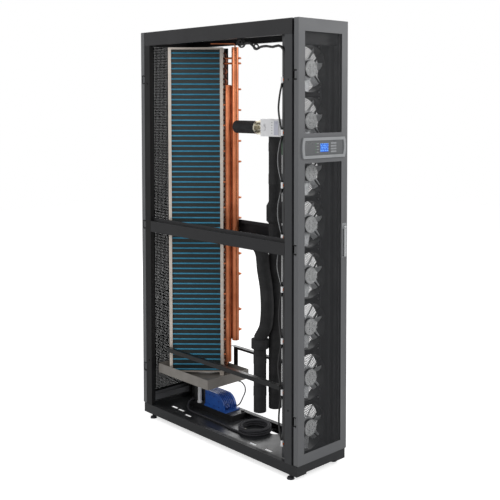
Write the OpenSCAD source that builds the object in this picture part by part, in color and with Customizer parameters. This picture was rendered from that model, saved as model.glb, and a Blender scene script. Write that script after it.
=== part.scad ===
// In-row cooling unit: a narrow cabinet that stands between server racks.
// Air enters through the rear door, crosses a slanted chilled-water coil and
// is blown out through the front door by a column of eight axial fans.
// Origin: centre of the footprint on the floor. +X right seen from the front,
// +Y to the rear, +Z up. Both side panels are off.

/* [Cabinet] */
// Width of the cabinet
cab_w = 305; // [300:1:330]
// Depth from the front door's face to the rear door's face
cab_d = 1110; // [1080:5:1200]
// Height of the cabinet's top over the floor
cab_h = 1955; // [1940:5:2060]
// How far the handles, the display and the latch stand out of a door's face
trim_proud = 8; // [8:1:14]
// Thickness of the frame's sheet steel
frame_t = 2; // [1.5:0.1:3]
// Height of the plinth's underside over the floor
foot_h = 25; // [20:1:40]
// Height of the plinth's side rails
base_h = 45; // [40:1:60]
// Height of the floor sheet's top over the plinth's underside
floor_up = 20; // [12:1:24]
// How far the plinth stays behind each door's face
base_inset = 7; // [4:1:15]
// Width of the plinth rails' flanges
base_flange = 24; // [18:1:30]
// Height of the top frame's rails
top_rail_h = 67; // [55:1:85]
// Width of the top rails' flanges
top_flange = 20; // [16:1:26]

/* [Posts and rails] */
// Width of a post's side face
post_side = 42; // [36:1:52]
// Width of a post's front flange
post_front = 30; // [24:1:34]
// Width of a post's inner flange
post_inner = 22; // [18:1:26]
// Height of the centre line of the braces halfway up each side
brace_z = 985; // [940:5:1030]
// Height of a side brace
brace_h = 54; // [44:1:66]
// Depth of a side brace
brace_depth = 18; // [14:1:20]
// Height of the lip on a side brace
brace_lip = 16; // [10:1:24]
// Height of the lower rails' top face
rail_z = 388; // [360:1:420]
// Leg of the lower rails' angle section
rail_leg = 20; // [14:1:20]
// Diameter of the holes that bolt two cabinets together
baying_hole_d = 9; // [7:0.5:12]

/* [Doors] */
// Thickness of a door
door_t = 26; // [24:1:34]
// Thickness of the doors' sheet steel
door_sheet = 2; // [1.5:0.1:3]
// Gap between the front door and the posts, which the gasket fills
gasket_gap = 13; // [12:1:16]
// Gap between the rear door and the posts
rear_gap = 3.5; // [3:0.5:6]
// Gap between the plinth and the doors
door_foot_gap = 3; // [2:0.5:6]
// Width of the lip round a door's back
door_lip = 26; // [22:1:32]
// Width of a door's solid edge beside its openings
stile_w = 38; // [34:1:46]
// Height of the openings' lower edge over the floor
window_z0 = 118; // [110:1:150]
// Distance from the openings' upper edge to the cabinet's top
window_top_gap = 55; // [40:1:80]
// Thickness of the perforated sheets
mesh_t = 1.5; // [1:0.1:3]
// How far a perforated sheet laps behind the door's face all round
mesh_lap = 6; // [4:1:8]
// Length of a slot in the perforated sheets
mesh_slot_w = 104; // [90:1:106]
// Height of a slot in the perforated sheets
mesh_slot_h = 14; // [8:1:18]
// Pitch of the slots in the perforated sheets
mesh_pitch = 22; // [20:1:28]
// Greatest opening angle of the doors
door_swing = 110; // [90:1:110]

/* [Hinges] */
// Radius of the hinge pins
hinge_pin_r = 3; // [2.5:0.1:3.2]
// Radius of the hinge knuckles
hinge_knuckle_r = 4.7; // [4.4:0.1:4.9]
// Running clearance on the hinge pins
hinge_clear = 0.06; // [0.02:0.01:0.1]
// Distance from the cabinet's side to the hinge axes
hinge_inset = 6.5; // [6:0.5:8]
// Distance from the front door's back to its hinge axis
front_hinge_out = 3; // [2:0.5:4]
// Distance from the rear door's back to its hinge axis
rear_hinge_out = 8; // [7:0.5:10]
// Length of a hinge between its arms
hinge_len = 40; // [30:1:60]
// Thickness of a hinge arm
hinge_arm_t = 4; // [3:0.5:6]
// Height of the lowest hinges
hinge_z0 = 260; // [180:5:320]
// Distance from the highest hinges to the cabinet's top
hinge_top_gap = 235; // [180:5:320]

/* [Display] */
// Height of the display's centre line
display_z = 1414; // [1380:1:1430]
// Width of the display's surround
bezel_w = 270; // [260:1:280]
// Height of the display's surround
bezel_h = 88; // [80:1:100]
// Width of the rim of the display's surround
bezel_rim = 13; // [10:1:18]
// How far each end of the surround bows outwards
bezel_bow = 7; // [3:1:12]
// Height of the solid band across the door behind the display
band_h = 126; // [110:1:150]
// Thickness of the keypad panel
panel_t = 4; // [3:0.5:5]
// Width of the screen
screen_w = 50; // [40:1:70]
// Height of the screen
screen_h = 36; // [26:1:42]
// Width of a key
key_w = 36; // [24:1:44]
// Height of a key
key_h = 8; // [6:0.5:9]
// Pitch of the keys
key_pitch = 12; // [11:0.5:14]
// Travel of a key
key_travel = 1.2; // [0.6:0.1:1.4]

/* [Handle] */
// Height of the handle's dish
dish_h = 150; // [130:1:180]
// Depth of the handle's dish
dish_depth = 13; // [8:1:16]
// Height of the dish's centre over the floor
dish_z = 1004; // [960:1:1040]
// Width of the dish's rim and walls beside the lever, both sides together
lever_side_gap = 15; // [14:1:18]
// Thickness of the handle's lever
lever_t = 6; // [4:0.5:7]
// Radius of the lock's spindle
spindle_r = 6; // [4:0.5:7]

/* [Fans] */
// Height left free over the highest fan
fan_top_gap = 26; // [16:1:60]
// Room between the blade tips and half the fans' pitch
fan_tip_room = 14; // [13:1:20]
// Gap between the blade tips and the duct
fan_tip_gap = 3; // [2:0.5:4]
// Radius of a fan's hub
fan_hub_r = 44; // [38:1:50]
// Number of blades
fan_blades = 7; // [5:1:9]
// Pitch angle of the blades
blade_angle = 52; // [40:1:60]
// Radius of curvature of a blade
blade_curve_r = 70; // [55:1:90]
// Thickness of a blade
blade_t = 2.4; // [1.5:0.1:4]
// Depth of a fan's duct
duct_depth = 40; // [34:1:46]
// Radius of a fan's motor
motor_r = 37.5; // [30:0.5:40]
// Radius of a fan's axle
axle_r = 5; // [4:0.5:8]
// Depth of the bulkhead that carries the fans
bulkhead_depth = 46; // [40:1:60]
// Half the width of the bulkhead
bulkhead_half = 122; // [114:1:124]

/* [Coil] */
// Gap between the outermost feeder bend and the cabinet's right side
pipe_side_gap = 4.5; // [4:0.5:12]
// Thickness of the coil
coil_t = 78; // [60:1:80]
// Height of the coil's underside
coil_z0 = 262; // [258:1:280]
// Distance between one tube row and the next
tube_pitch = 25.4; // [24:0.1:28]
// Gap between the coil's top and the top frame
coil_top_gap = 11; // [10:1:30]
// Radius of the coil's tubes
tube_r = 5; // [4:0.5:6]
// Turn of the coil's face from the cabinet's width
coil_turn = 45; // [40:1:48]
// Distance from the cabinet's side to the coil's rear left corner
coil_side_gap = 32.5; // [30:0.5:36]
// Distance from the cabinet's centre back to the coil's rear left corner
coil_y = 375; // [360:1:385]
// Width of the flanges round the coil's face
coil_flange = 15; // [10:1:20]

/* [Pipework] */
// Radius of the thick header
header_a_r = 17.5; // [15:0.5:20]
// Radius of the thin header
header_b_r = 14.3; // [12:0.1:16]
// Distance from the coil's end to the thin header
header_b_off = 25; // [23:1:28]
// Distance between the two headers
header_gap = 35; // [34:1:38]
// Radius of the insulated pipes
insul_r = 31; // [26:1:31]
// Radius of the pipes' bore
pipe_bore_r = 17.5; // [14:0.5:20]
// Length of the bore open at each pipe's lower end
pipe_socket = 60; // [40:5:90]
// Height of the supply pipe's lower end
supply_end_z = 165; // [140:5:200]
// Height of the return pipe's lower end
return_end_z = 152; // [140:2:200]
// Height of the valve's centre line
valve_z = 1488; // [1460:2:1520]
// Radius of the valve's body
valve_r = 26; // [22:1:28]
// Radius of the valve's stem
stem_r = 5; // [4:0.5:7]

/* [Condensate] */
// Height of the drain pan's floor
pan_z = 243; // [236:1:250]
// Height of the drain pan's walls
pan_h = 47; // [36:1:60]
// Width of the pump's tray
tray_w = 96; // [80:1:100]
// Length of the pump's tray
tray_len = 350; // [330:5:370]
// Height of the pump's tray
tray_h = 30; // [24:1:40]
// Height of the pump over its tray
pump_h = 84; // [70:1:100]
// Length of the pump
pump_len = 165; // [140:5:170]
// Diameter of the discharge hose
hose_d = 10; // [8:1:12]
// Radius of the coiled hose, to the middle of its turns
hose_coil_r = 70; // [66:1:74]

/* [Hidden] */
$fn = 48;

// Small clearances and overlaps
eps = 1;
run = 0.06;
seat = 0.3;

// Cabinet planes
side_x = cab_w / 2;
door_y = cab_d / 2;
front_y = -door_y + door_t + gasket_gap;
rear_y = door_y - door_t - rear_gap;
base_y = door_y - base_inset;
base_z1 = foot_h + base_h;
top_z0 = cab_h - top_rail_h;
floor_z = foot_h + floor_up;
door_z0 = base_z1 + door_foot_gap;
window_z1 = cab_h - window_top_gap;
window_w = cab_w - 2 * stile_w;
band_z0 = display_z - band_h / 2;
band_z1 = display_z + band_h / 2;

// ---------------------------------------------------------------- helpers

// A box from its lowest to its highest corner.
module span(a, b) {
    translate(a) cube(b - a);
}

// A cylinder from one point to another.
module rod(a, b, r) {
    d = b - a;
    translate(a)
        rotate([0, acos(d[2] / norm(d)), atan2(d[1], d[0])])
            cylinder(r = r, h = norm(d));
}

// Copies of a piece on both sides of the plane x = 0.
module both_sides() {
    children();
    mirror([1, 0, 0]) children();
}

function unit(v) = v / norm(v);

// A smooth curve through points: n steps between one point and the next.
function blend(a, b, c, d, t) =
    0.5 * (2 * b + (c - a) * t + (2 * a - 5 * b + 4 * c - d) * t * t
           + (3 * b - a - 3 * c + d) * t * t * t);
function curve(p, n) = [
    for (i = [0 : len(p) - 2], j = [0 : n - 1])
        blend(p[max(i - 1, 0)], p[i], p[i + 1], p[min(i + 2, len(p) - 1)], j / n),
    p[len(p) - 1]
];

// A round tube swept along a curve. ref is never parallel to the curve.
module swept(path, r, sides, ref) {
    last = len(path) - 1;
    rings = [
        for (i = [0 : last])
            let (t = unit(path[min(i + 1, last)] - path[max(i - 1, 0)]),
                 a = unit(cross(ref, t)),
                 b = cross(t, a))
                for (k = [0 : sides - 1])
                    path[i] + r * (cos(360 * k / sides) * a + sin(360 * k / sides) * b)
    ];
    walls = [
        for (i = [0 : last - 1], k = [0 : sides - 1])
            let (q = (k + 1) % sides)
                [i * sides + k, (i + 1) * sides + k, (i + 1) * sides + q, i * sides + q]
    ];
    start = [for (k = [0 : sides - 1]) k];
    end = [for (k = [sides - 1 : -1 : 0]) last * sides + k];
    polyhedron(points = rings, faces = concat(walls, [start], [end]));
}

// ---------------------------------------------------------------- frame

// The plinth: a ring of channel, open inwards, with a stepped front edge.
toe_w = 60;
toe_step = 7;
module base_frame() {
    color("#3a3a3c") difference() {
        span([-side_x, -base_y, foot_h], [side_x, base_y, base_z1]);
        span([-side_x + base_flange, -base_y + base_flange, foot_h - eps],
             [side_x - base_flange, base_y - base_flange, base_z1 + eps]);
        span([-side_x + frame_t, -base_y + frame_t, foot_h + frame_t],
             [side_x - frame_t, base_y - frame_t, base_z1 - frame_t]);
        // cut-outs that leave a toe at each corner
        for (s = [-1, 1])
            translate([0, s * base_y, foot_h])
                span([-side_x + toe_w, -base_flange - eps, -eps],
                     [side_x - toe_w, base_flange + eps, toe_step]);
    }
}

// The floor sheet, with slots for air and drained water and two pipe holes.
slot_len = 44;
slot_w = 14;
floor_slots = [[-71, -290], [-71, -187], [-64, 300], [-42, 383], [-39, 440]];
floor_hole_r = 27;
module floor_pan() {
    color("#2c2d2f") difference() {
        span([-side_x + frame_t, -base_y + frame_t, floor_z - frame_t],
             [side_x - frame_t, base_y - frame_t, floor_z]);
        for (p = floor_slots)
            translate([p[0] - slot_w / 2, p[1] - slot_len / 2, floor_z - frame_t - eps])
                cube([slot_w, slot_len, frame_t + 2 * eps]);
        // holes for pipes that come up from under the floor
        for (p = [[supply_x, supply_y], [return_x, return_y]])
            translate([p[0], p[1], floor_z - frame_t - eps])
                cylinder(r = floor_hole_r, h = frame_t + 2 * eps);
    }
}

// Four feet: a pad, a threaded stem and a lock nut under each corner.
foot_x = side_x - 12;
foot_y = base_y - 54;
pad_h = 8;
module leveling_foot() {
    cylinder(r1 = 17, r2 = 14, h = pad_h);
    translate([0, 0, pad_h]) cylinder(r = 5, h = foot_h - pad_h);
    translate([0, 0, foot_h - 7]) cylinder(r = 9, h = 7, $fn = 6);
}
module leveling_feet() {
    color("#1d1d1f") for (x = [-1, 1], y = [-1, 1])
        translate([x * (foot_x - 6), y * foot_y, 0]) leveling_foot();
}

// Section of a post: a bent channel with a stiffening lip.
post_lip = 12;
module post_section() {
    polygon([[0, 0], [post_front, 0], [post_front, post_lip],
             [post_front - frame_t, post_lip], [post_front - frame_t, frame_t],
             [frame_t, frame_t], [frame_t, post_side - frame_t],
             [post_inner, post_side - frame_t], [post_inner, post_side], [0, post_side]]);
}
baying_end = 255;
baying_zs = [baying_end + 45, cab_h - baying_end];
module post() {
    difference() {
        translate([-side_x, 0, base_z1])
            linear_extrude(top_z0 - base_z1) post_section();
        for (z = baying_zs)
            translate([-side_x - eps, post_side / 2, z])
                rotate([0, 90, 0]) cylinder(d = baying_hole_d, h = frame_t + 2 * eps);
    }
}
module posts_front() {
    color("#3f4042") both_sides() translate([0, front_y, 0]) post();
}
module posts_rear() {
    color("#2b2b2d") both_sides()
        translate([0, rear_y, 0]) mirror([0, 1, 0]) post();
}

// The top frame: a ring of channel and a deep rail over the fans.
fan_rail_h = 38;
module top_frame() {
    color("#343537") {
        difference() {
            span([-side_x, front_y, top_z0], [side_x, rear_y, cab_h]);
            span([-side_x + top_flange, front_y + top_flange, top_z0 - eps],
                 [side_x - top_flange, rear_y - top_flange, cab_h + eps]);
            span([-side_x + frame_t, front_y + frame_t, top_z0 + frame_t],
                 [side_x - frame_t, rear_y - frame_t, cab_h - frame_t]);
        }
        span([-side_x + post_front, front_y, top_z0 - fan_rail_h],
             [side_x - post_front, front_y + frame_t, top_z0]);
    }
}

// The roof sheet under the top flanges, with two pipe holes and a cable slot.
roof_hole_r = 34;
roof_hole_x = 55;
roof_hole_y = -190;
module top_panel() {
    z1 = cab_h - frame_t;
    color("#2f3032") difference() {
        span([-side_x + frame_t, front_y + frame_t, z1 - frame_t],
             [side_x - frame_t, rear_y - frame_t, z1]);
        for (s = [-1, 1])
            translate([s * roof_hole_x, roof_hole_y, z1 - frame_t - eps])
                cylinder(r = roof_hole_r, h = frame_t + 2 * eps);
        translate([-90, 330, z1 - frame_t - eps]) cube([180, 60, frame_t + 2 * eps]);
    }
}

// A brace halfway up one side: a channel with a lip standing on its inner leg.
brace_y0 = front_y + post_side + frame_t;
brace_y1 = rear_y - post_side;
module side_brace() {
    z0 = brace_z - brace_h / 2;
    z1 = z0 + brace_h;
    color("#3a3a3c") translate([-side_x, brace_y0, 0]) difference() {
        union() {
            translate([0, 0, z0]) cube([brace_depth, brace_y1 - brace_y0, brace_h]);
            translate([brace_depth - frame_t, 0, z1])
                cube([frame_t, brace_y1 - brace_y0, brace_lip]);
        }
        translate([frame_t, -eps, z0 + frame_t])
            cube([brace_depth, brace_y1 - brace_y0 + 2 * eps, brace_h - 2 * frame_t]);
    }
}
module side_brace_left() {
    side_brace();
}
module side_brace_right() {
    mirror([1, 0, 0]) side_brace();
}

// Lower rails: angles from the fan bulkhead back to the coil and the pan.
rail_x0 = side_x - 12.5;
rail_y0 = front_y + post_side + bulkhead_depth;
rail_hole_ys = [-390, -330, -40, 0, 70, 110];
module coil_rail(y1, leg) {
    difference() {
        union() {
            span([-rail_x0, rail_y0, rail_z - rail_leg], [-rail_x0 + frame_t, y1, rail_z]);
            span([-rail_x0, rail_y0, rail_z - frame_t], [-rail_x0 + leg, y1, rail_z]);
        }
        for (y = rail_hole_ys)
            translate([-rail_x0 + leg * 0.55, y, rail_z - frame_t - eps])
                cylinder(r = 3, h = frame_t + 2 * eps);
    }
}
module coil_rail_left() {
    color("#202123") coil_rail(coil_y - seat, rail_leg);
}
hanger_len = 30;
hanger_y1 = 180;
module coil_rail_right() {
    color("#202123") {
        difference() {
            mirror([1, 0, 0]) coil_rail(hanger_y1, rail_leg + 2);
            translate([supply_x, supply_y, rail_z - rail_leg])
                cylinder(r = insul_r + 1, h = rail_leg + eps);
        }
        // a strap that hangs the drain pan's right wall from the rail
        span([pan_x1, hanger_y1 - hanger_len, pan_z + pan_h / 2],
             [pan_x1 + frame_t, hanger_y1, rail_z - frame_t]);
    }
}

// ---------------------------------------------------------------- fans

bulkhead_y0 = front_y + post_side;
bulkhead_y1 = bulkhead_y0 + bulkhead_depth;
fan_count = 8;
fan_pitch = (top_z0 - base_z1 - fan_top_gap) / fan_count;
fan_tip_r = fan_pitch / 2 - fan_tip_room;
function fan_z(i) = base_z1 + fan_pitch * (i + 0.5);

// The bulkhead: a tray with eight round openings and lips against the posts.
module fan_bulkhead() {
    color("#2b2c2e") difference() {
        union() {
            span([-bulkhead_half, bulkhead_y0, base_z1], [bulkhead_half, bulkhead_y1, top_z0]);
            span([-side_x + frame_t, bulkhead_y0, base_z1],
                 [side_x - frame_t, bulkhead_y0 + frame_t, top_z0]);
        }
        span([-bulkhead_half + frame_t, bulkhead_y0 - eps, base_z1 + frame_t],
             [bulkhead_half - frame_t, bulkhead_y1 - frame_t, top_z0 - frame_t]);
        for (i = [0 : fan_count - 1])
            translate([0, bulkhead_y1 + eps, fan_z(i)])
                rotate([90, 0, 0]) cylinder(r = fan_tip_r + fan_tip_gap, h = frame_t + 2 * eps);
    }
}

// One fan, built with its axis on +Z and its motor on top.
duct_r = fan_tip_r + fan_tip_gap;
duct_wall = 2.5;
fan_plate = fan_pitch - 6;
motor_h = 14;
strut_count = 4;
strut_t = 4;
strut_w = 6;
axle_end_r = 8;
hub_gap = 2;
hub_h = duct_depth - 10;
// Height of the ring of struts over the mounting plate
strut_z = duct_depth;
module fan_housing() {
    difference() {
        union() {
            translate([-fan_plate / 2, -fan_plate / 2, 0]) cube([fan_plate, fan_plate, frame_t]);
            cylinder(r = duct_r + duct_wall, h = duct_depth + strut_t);
        }
        translate([0, 0, -eps]) cylinder(r = duct_r, h = duct_depth + strut_t + 2 * eps);
        for (x = [-1, 1], y = [-1, 1])
            translate([x * (fan_plate / 2 - 9), y * (fan_plate / 2 - 9), -eps]) cylinder(r = 2.7, h = frame_t + 2 * eps);
    }
    // four struts that carry the motor in the middle of the duct
    for (k = [0 : strut_count - 1])
        rotate([0, 0, 45 + k * 360 / strut_count])
            translate([motor_r - 2, -strut_w / 2, strut_z])
                cube([duct_r - motor_r + 3, strut_w, strut_t]);
    translate([0, 0, strut_z - 2]) cylinder(r = motor_r, h = motor_h);
    translate([0, 0, strut_z - 2 - hub_gap - hub_h - 1.5]) {
        cylinder(r = axle_r, h = hub_gap + hub_h + 3);
        cylinder(r = axle_end_r, h = 1);
    }
}
module at_fan(i) {
    translate([0, bulkhead_y1 - frame_t, fan_z(i)]) rotate([90, 0, 0]) children();
}
module fan_housings() {
    color("#8f9294") for (i = [0 : fan_count - 1]) at_fan(i) fan_housing();
}

// A rotor: a hub on the axle with cambered blades set at an angle.
module fan_blade() {
    chord = 54;
    intersection() {
        rotate([blade_angle, 0, 0])
            translate([0, 0, -blade_curve_r])
                rotate([0, 90, 0]) difference() {
                    cylinder(r = blade_curve_r + blade_t / 2, h = fan_tip_r + eps, $fn = 96);
                    translate([0, 0, -eps])
                        cylinder(r = blade_curve_r - blade_t / 2, h = fan_tip_r + 3 * eps, $fn = 96);
                }
        translate([0, -chord / 2, 0]) cube([fan_tip_r + eps, chord, hub_h - 2]);
    }
}
module fan_rotor() {
    z0 = strut_z - 2 - hub_gap - hub_h;
    translate([0, 0, z0]) difference() {
        union() {
            cylinder(r = fan_hub_r, h = hub_h);
            intersection() {
                for (k = [0 : fan_blades - 1])
                    rotate([0, 0, k * 360 / fan_blades])
                        translate([0, 0, hub_h / 2 - 14]) fan_blade();
                cylinder(r = fan_tip_r, h = hub_h);
            }
        }
        translate([0, 0, -eps]) cylinder(r = axle_r + run, h = hub_h + 2 * eps);
    }
}
module fan_rotor_1() {
    color("#b9bcbf") at_fan(0) fan_rotor();
}
module fan_rotor_2() {
    color("#b9bcbf") at_fan(1) fan_rotor();
}
module fan_rotor_3() {
    color("#b9bcbf") at_fan(2) fan_rotor();
}
module fan_rotor_4() {
    color("#b9bcbf") at_fan(3) fan_rotor();
}
module fan_rotor_5() {
    color("#b9bcbf") at_fan(4) fan_rotor();
}
module fan_rotor_6() {
    color("#b9bcbf") at_fan(5) fan_rotor();
}
module fan_rotor_7() {
    color("#b9bcbf") at_fan(6) fan_rotor();
}
module fan_rotor_8() {
    color("#b9bcbf") at_fan(7) fan_rotor();
}

// ---------------------------------------------------------------- coil

// The coil fills what the headers and their bends leave of the width.
feeder_bend = 12;
feeder_out = 13;
coil_len = (cab_w - coil_side_gap - pipe_side_gap - feeder_bend - tube_r) / cos(coil_turn)
           - (header_b_off + header_gap + feeder_out + feeder_bend);

// Frame of the coil: x along its face, y through its thickness, z up.
module at_coil() {
    translate([-side_x + coil_side_gap, coil_y, 0]) rotate([0, 0, -coil_turn]) children();
}
first_row = 12;
over_rows = 27;
tube_z0 = coil_z0 + first_row;
tube_rows = floor((top_z0 - coil_top_gap - over_rows - tube_z0) / tube_pitch) + 1;
function tube_z(i) = tube_z0 + tube_pitch * i;
coil_z1 = tube_z(tube_rows - 1) + over_rows;
coil_foot_h = coil_z0 - pan_z - frame_t;

// The casing: end plates, top and bottom, flanged round both faces.
module coil_casing() {
    color("#c9bfb6") at_coil() {
        difference() {
            translate([0, 0, coil_z0]) cube([coil_len, coil_t, coil_z1 - coil_z0]);
            translate([frame_t, frame_t, coil_z0 + frame_t])
                cube([coil_len - 2 * frame_t, coil_t - 2 * frame_t, coil_z1 - coil_z0 - 2 * frame_t]);
            translate([coil_flange, -eps, coil_z0 + 6])
                cube([coil_len - 2 * coil_flange, coil_t + 2 * eps, coil_z1 - coil_z0 - 16]);
        }
        // two feet that stand in the drain pan
        for (x = [0, coil_len - 20])
            translate([x, 0, coil_z0 - coil_foot_h]) cube([20, coil_t, coil_foot_h]);
    }
}

// The fin pack, with the tubes standing half out of both faces.
fin_margin = 7;
module coil_core() {
    color("#2f6f86") at_coil() {
        translate([frame_t, fin_margin, coil_z0 + frame_t])
            cube([coil_len - 2 * frame_t, coil_t - 2 * fin_margin, coil_z1 - coil_z0 - 2 * frame_t]);
        for (i = [0 : tube_rows - 1], y = [fin_margin + 1, coil_t - fin_margin - 1])
            translate([frame_t, y, tube_z(i)]) rotate([0, 90, 0])
                cylinder(r = tube_r - 0.5, h = coil_len - 2 * frame_t);
    }
}

// U bends that join the tubes two by two at the coil's right end.
bend_rows_y = [44, 62];
module return_bends() {
    color("#a9603c") at_coil()
        for (i = [0 : 2 : tube_rows - 2], y = bend_rows_y)
            translate([coil_len, y, tube_z(i) + tube_pitch / 2])
                rotate([90, 0, 0]) rotate([0, 0, -90])
                    rotate_extrude(angle = 180, $fn = 24)
                        translate([tube_pitch / 2, 0]) circle(r = tube_r, $fn = 16);
}

// Rows of tubes that a feeder runs to.
header_b_x = coil_len + header_b_off;
header_a_x = header_b_x + header_gap;
header_a_z0 = coil_z0 + 164;
header_a_z1 = coil_z1;
header_b_z0 = coil_z0 + 55;
header_b_z1 = coil_z1 - 184;
feeder_rows = [for (i = [8, 12, 19, 23, 30, 34, 41, 45, 51, 55, 60, 61]) if (i < tube_rows - 1) i];
stub_rows = [for (i = [3, 6, 10, 15, 21, 26, 32, 37, 43, 48, 52]) if (tube_z(i) < header_b_z1) i];
vent_r = 3.5;
vent_rise = 8;
vent_bend = 10;
vent_z = header_a_z1 + vent_rise + vent_bend;

// The thick header: feeders leave it outwards, turn behind and enter the coil.
module supply_header() {
    color("#c8713f") at_coil() {
        translate([header_a_x, 0, header_a_z0])
            cylinder(r = header_a_r, h = header_a_z1 - header_a_z0);
        for (i = feeder_rows) translate([0, 0, tube_z(i)]) {
            rod([header_a_x, 0, 0], [header_a_x + feeder_out, 0, 0], tube_r);
            translate([header_a_x + feeder_out, feeder_bend, 0])
                rotate([0, 0, -90]) rotate_extrude(angle = 180, $fn = 24)
                    translate([feeder_bend, 0]) circle(r = tube_r, $fn = 16);
            rod([header_a_x + feeder_out, 2 * feeder_bend, 0],
                [coil_len, 2 * feeder_bend, 0], tube_r);
        }
        // the thin vent tube from the header's top over the coil
        translate([header_a_x, 0, header_a_z1]) cylinder(r = vent_r, h = vent_rise);
        translate([header_a_x - vent_bend, 0, header_a_z1 + vent_rise]) rotate([90, 0, 0])
            rotate_extrude(angle = 90, $fn = 24)
                translate([vent_bend, 0]) circle(r = vent_r, $fn = 16);
        rod([header_a_x - vent_bend, 0, vent_z], [coil_len * 0.78, 0, vent_z], vent_r);
    }
}

// The thin header, with straight stubs into the coil's front tubes and the
// bare branch to the return pipe.
module return_header() {
    color("#b5603a") at_coil() {
        translate([header_b_x, 0, header_b_z0])
            cylinder(r = header_b_r, h = header_b_z1 - header_b_z0);
        for (i = stub_rows)
            rod([coil_len, fin_margin, tube_z(i)], [header_b_x, fin_margin, tube_z(i)], tube_r);
    }
    color("#b5603a") rod(header_b_at, header_b_at + return_dir * return_bare, branch_b_r);
}

// ---------------------------------------------------------------- pipework

supply_x = 100;
supply_y = -156;
return_x = 36;
return_y = -119;
union_h = 52;
union_r = 41;
return_union_z = 450;
supply_union_z = 1038;
supply_union_h = 112;
supply_union_r = 42;
header_a_xy = [-side_x + coil_side_gap + header_a_x * cos(coil_turn),
               coil_y - header_a_x * sin(coil_turn)];
header_b_xy = [-side_x + coil_side_gap + header_b_x * cos(coil_turn),
               coil_y - header_b_x * sin(coil_turn)];
// Where the insulated branch leaves the thick header, and where it meets the valve
branch_end_y = -38;
branch_dir = unit([supply_x - header_a_xy[0], branch_end_y - header_a_xy[1], 0]);
branch_start = [header_a_xy[0], header_a_xy[1], valve_z] + branch_dir * (header_a_r + seat);

// The valve: a ball valve body on the branch, turned down to the supply pipe.
clamp_y = branch_end_y - 20;
module valve_body() {
    color("#a9a7a0") difference() {
        union() {
            rod([supply_x, branch_end_y, valve_z], [supply_x, supply_y - 12, valve_z], valve_r);
            rod([supply_x, supply_y, valve_z], [supply_x, supply_y, valve_z - valve_r - 14],
                valve_r - 3);
            // union nut and clamp ring next to the insulation
            rod([supply_x, branch_end_y, valve_z], [supply_x, branch_end_y - 12, valve_z], 34);
            span([supply_x - 58, clamp_y - 14, valve_z - 9],
                 [supply_x - valve_r + 4, clamp_y - 6, valve_z + 9]);
            // neck that carries the actuator
            rod([supply_x, supply_y, valve_z], [actuator_x1, supply_y, valve_z], 14);
        }
        rod([supply_x - 8, supply_y, valve_z], [actuator_x1 - eps, supply_y, valve_z],
            stem_r + run);
    }
}

// The actuator on the valve's side, with the stem and the release button.
actuator_x0 = 28;
actuator_x1 = 70;
actuator_y0 = -262;
actuator_y1 = -132;
actuator_z0 = valve_z - 38;
actuator_z1 = valve_z + 42;
button_r = 5;
button_travel = 3;
button_y = -238;
button_z = valve_z + 22;
module actuator_housing() {
    color("#dcdde2") difference() {
        union() {
            span([actuator_x0, actuator_y0, actuator_z0], [actuator_x1, actuator_y1, actuator_z1]);
            span([actuator_x0 - 4, actuator_y0 + 6, actuator_z0 + 6],
                 [actuator_x0, actuator_y0 + 66, actuator_z1 - 6]);
        }
        rod([actuator_x0 - 5, supply_y, valve_z], [actuator_x1 + eps, supply_y, valve_z],
            stem_r + run);
        rod([actuator_x0 - 5, button_y, button_z], [actuator_x0 + 8, button_y, button_z],
            button_r + seat);
    }
}
module valve_stem() {
    color("#c0a24a") {
        rod([actuator_x0 - 1, supply_y, valve_z], [supply_x - 9, supply_y, valve_z], stem_r);
        // pointer that shows how far the valve is open
        difference() {
            union() {
                rod([actuator_x0 - 6, supply_y, valve_z], [actuator_x0 - 1, supply_y, valve_z], 11);
                span([actuator_x0 - 6, supply_y - 3, valve_z],
                     [actuator_x0 - 1, supply_y + 3, valve_z + 19]);
            }
            span([actuator_x0 - 7, supply_y - 1.5, valve_z - 8],
                 [actuator_x0 - 4.5, supply_y + 1.5, valve_z + 8]);
        }
    }
}
module actuator_button() {
    color("#3b3c44")
        rod([actuator_x0 - 8, button_y, button_z], [actuator_x0 + 4, button_y, button_z], button_r);
}

// The insulated supply pipe: the branch from the header, the drop with its
// wrapped union, and the open lower end.
module supply_insulation() {
    color("#2f3032") {
        difference() {
            rod(branch_start, [supply_x, branch_end_y, valve_z] + branch_dir * 4, insul_r);
            span([supply_x - 2 * insul_r, branch_end_y - insul_r, valve_z - 2 * insul_r],
                 [supply_x + 2 * insul_r, branch_end_y, valve_z + 2 * insul_r]);
        }
        difference() {
            union() {
                rod([supply_x, supply_y, supply_end_z],
                    [supply_x, supply_y, valve_z - valve_r - 14], insul_r);
                translate([supply_x, supply_y, supply_union_z])
                    rotate_extrude() polygon([
                        [0, 0], [insul_r - 3, 0], [supply_union_r, 16],
                        [supply_union_r, supply_union_h - 26], [insul_r - 3, supply_union_h],
                        [0, supply_union_h]]);
            }
            translate([supply_x, supply_y, supply_end_z - eps])
                cylinder(r = pipe_bore_r, h = pipe_socket + eps);
        }
    }
}

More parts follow.
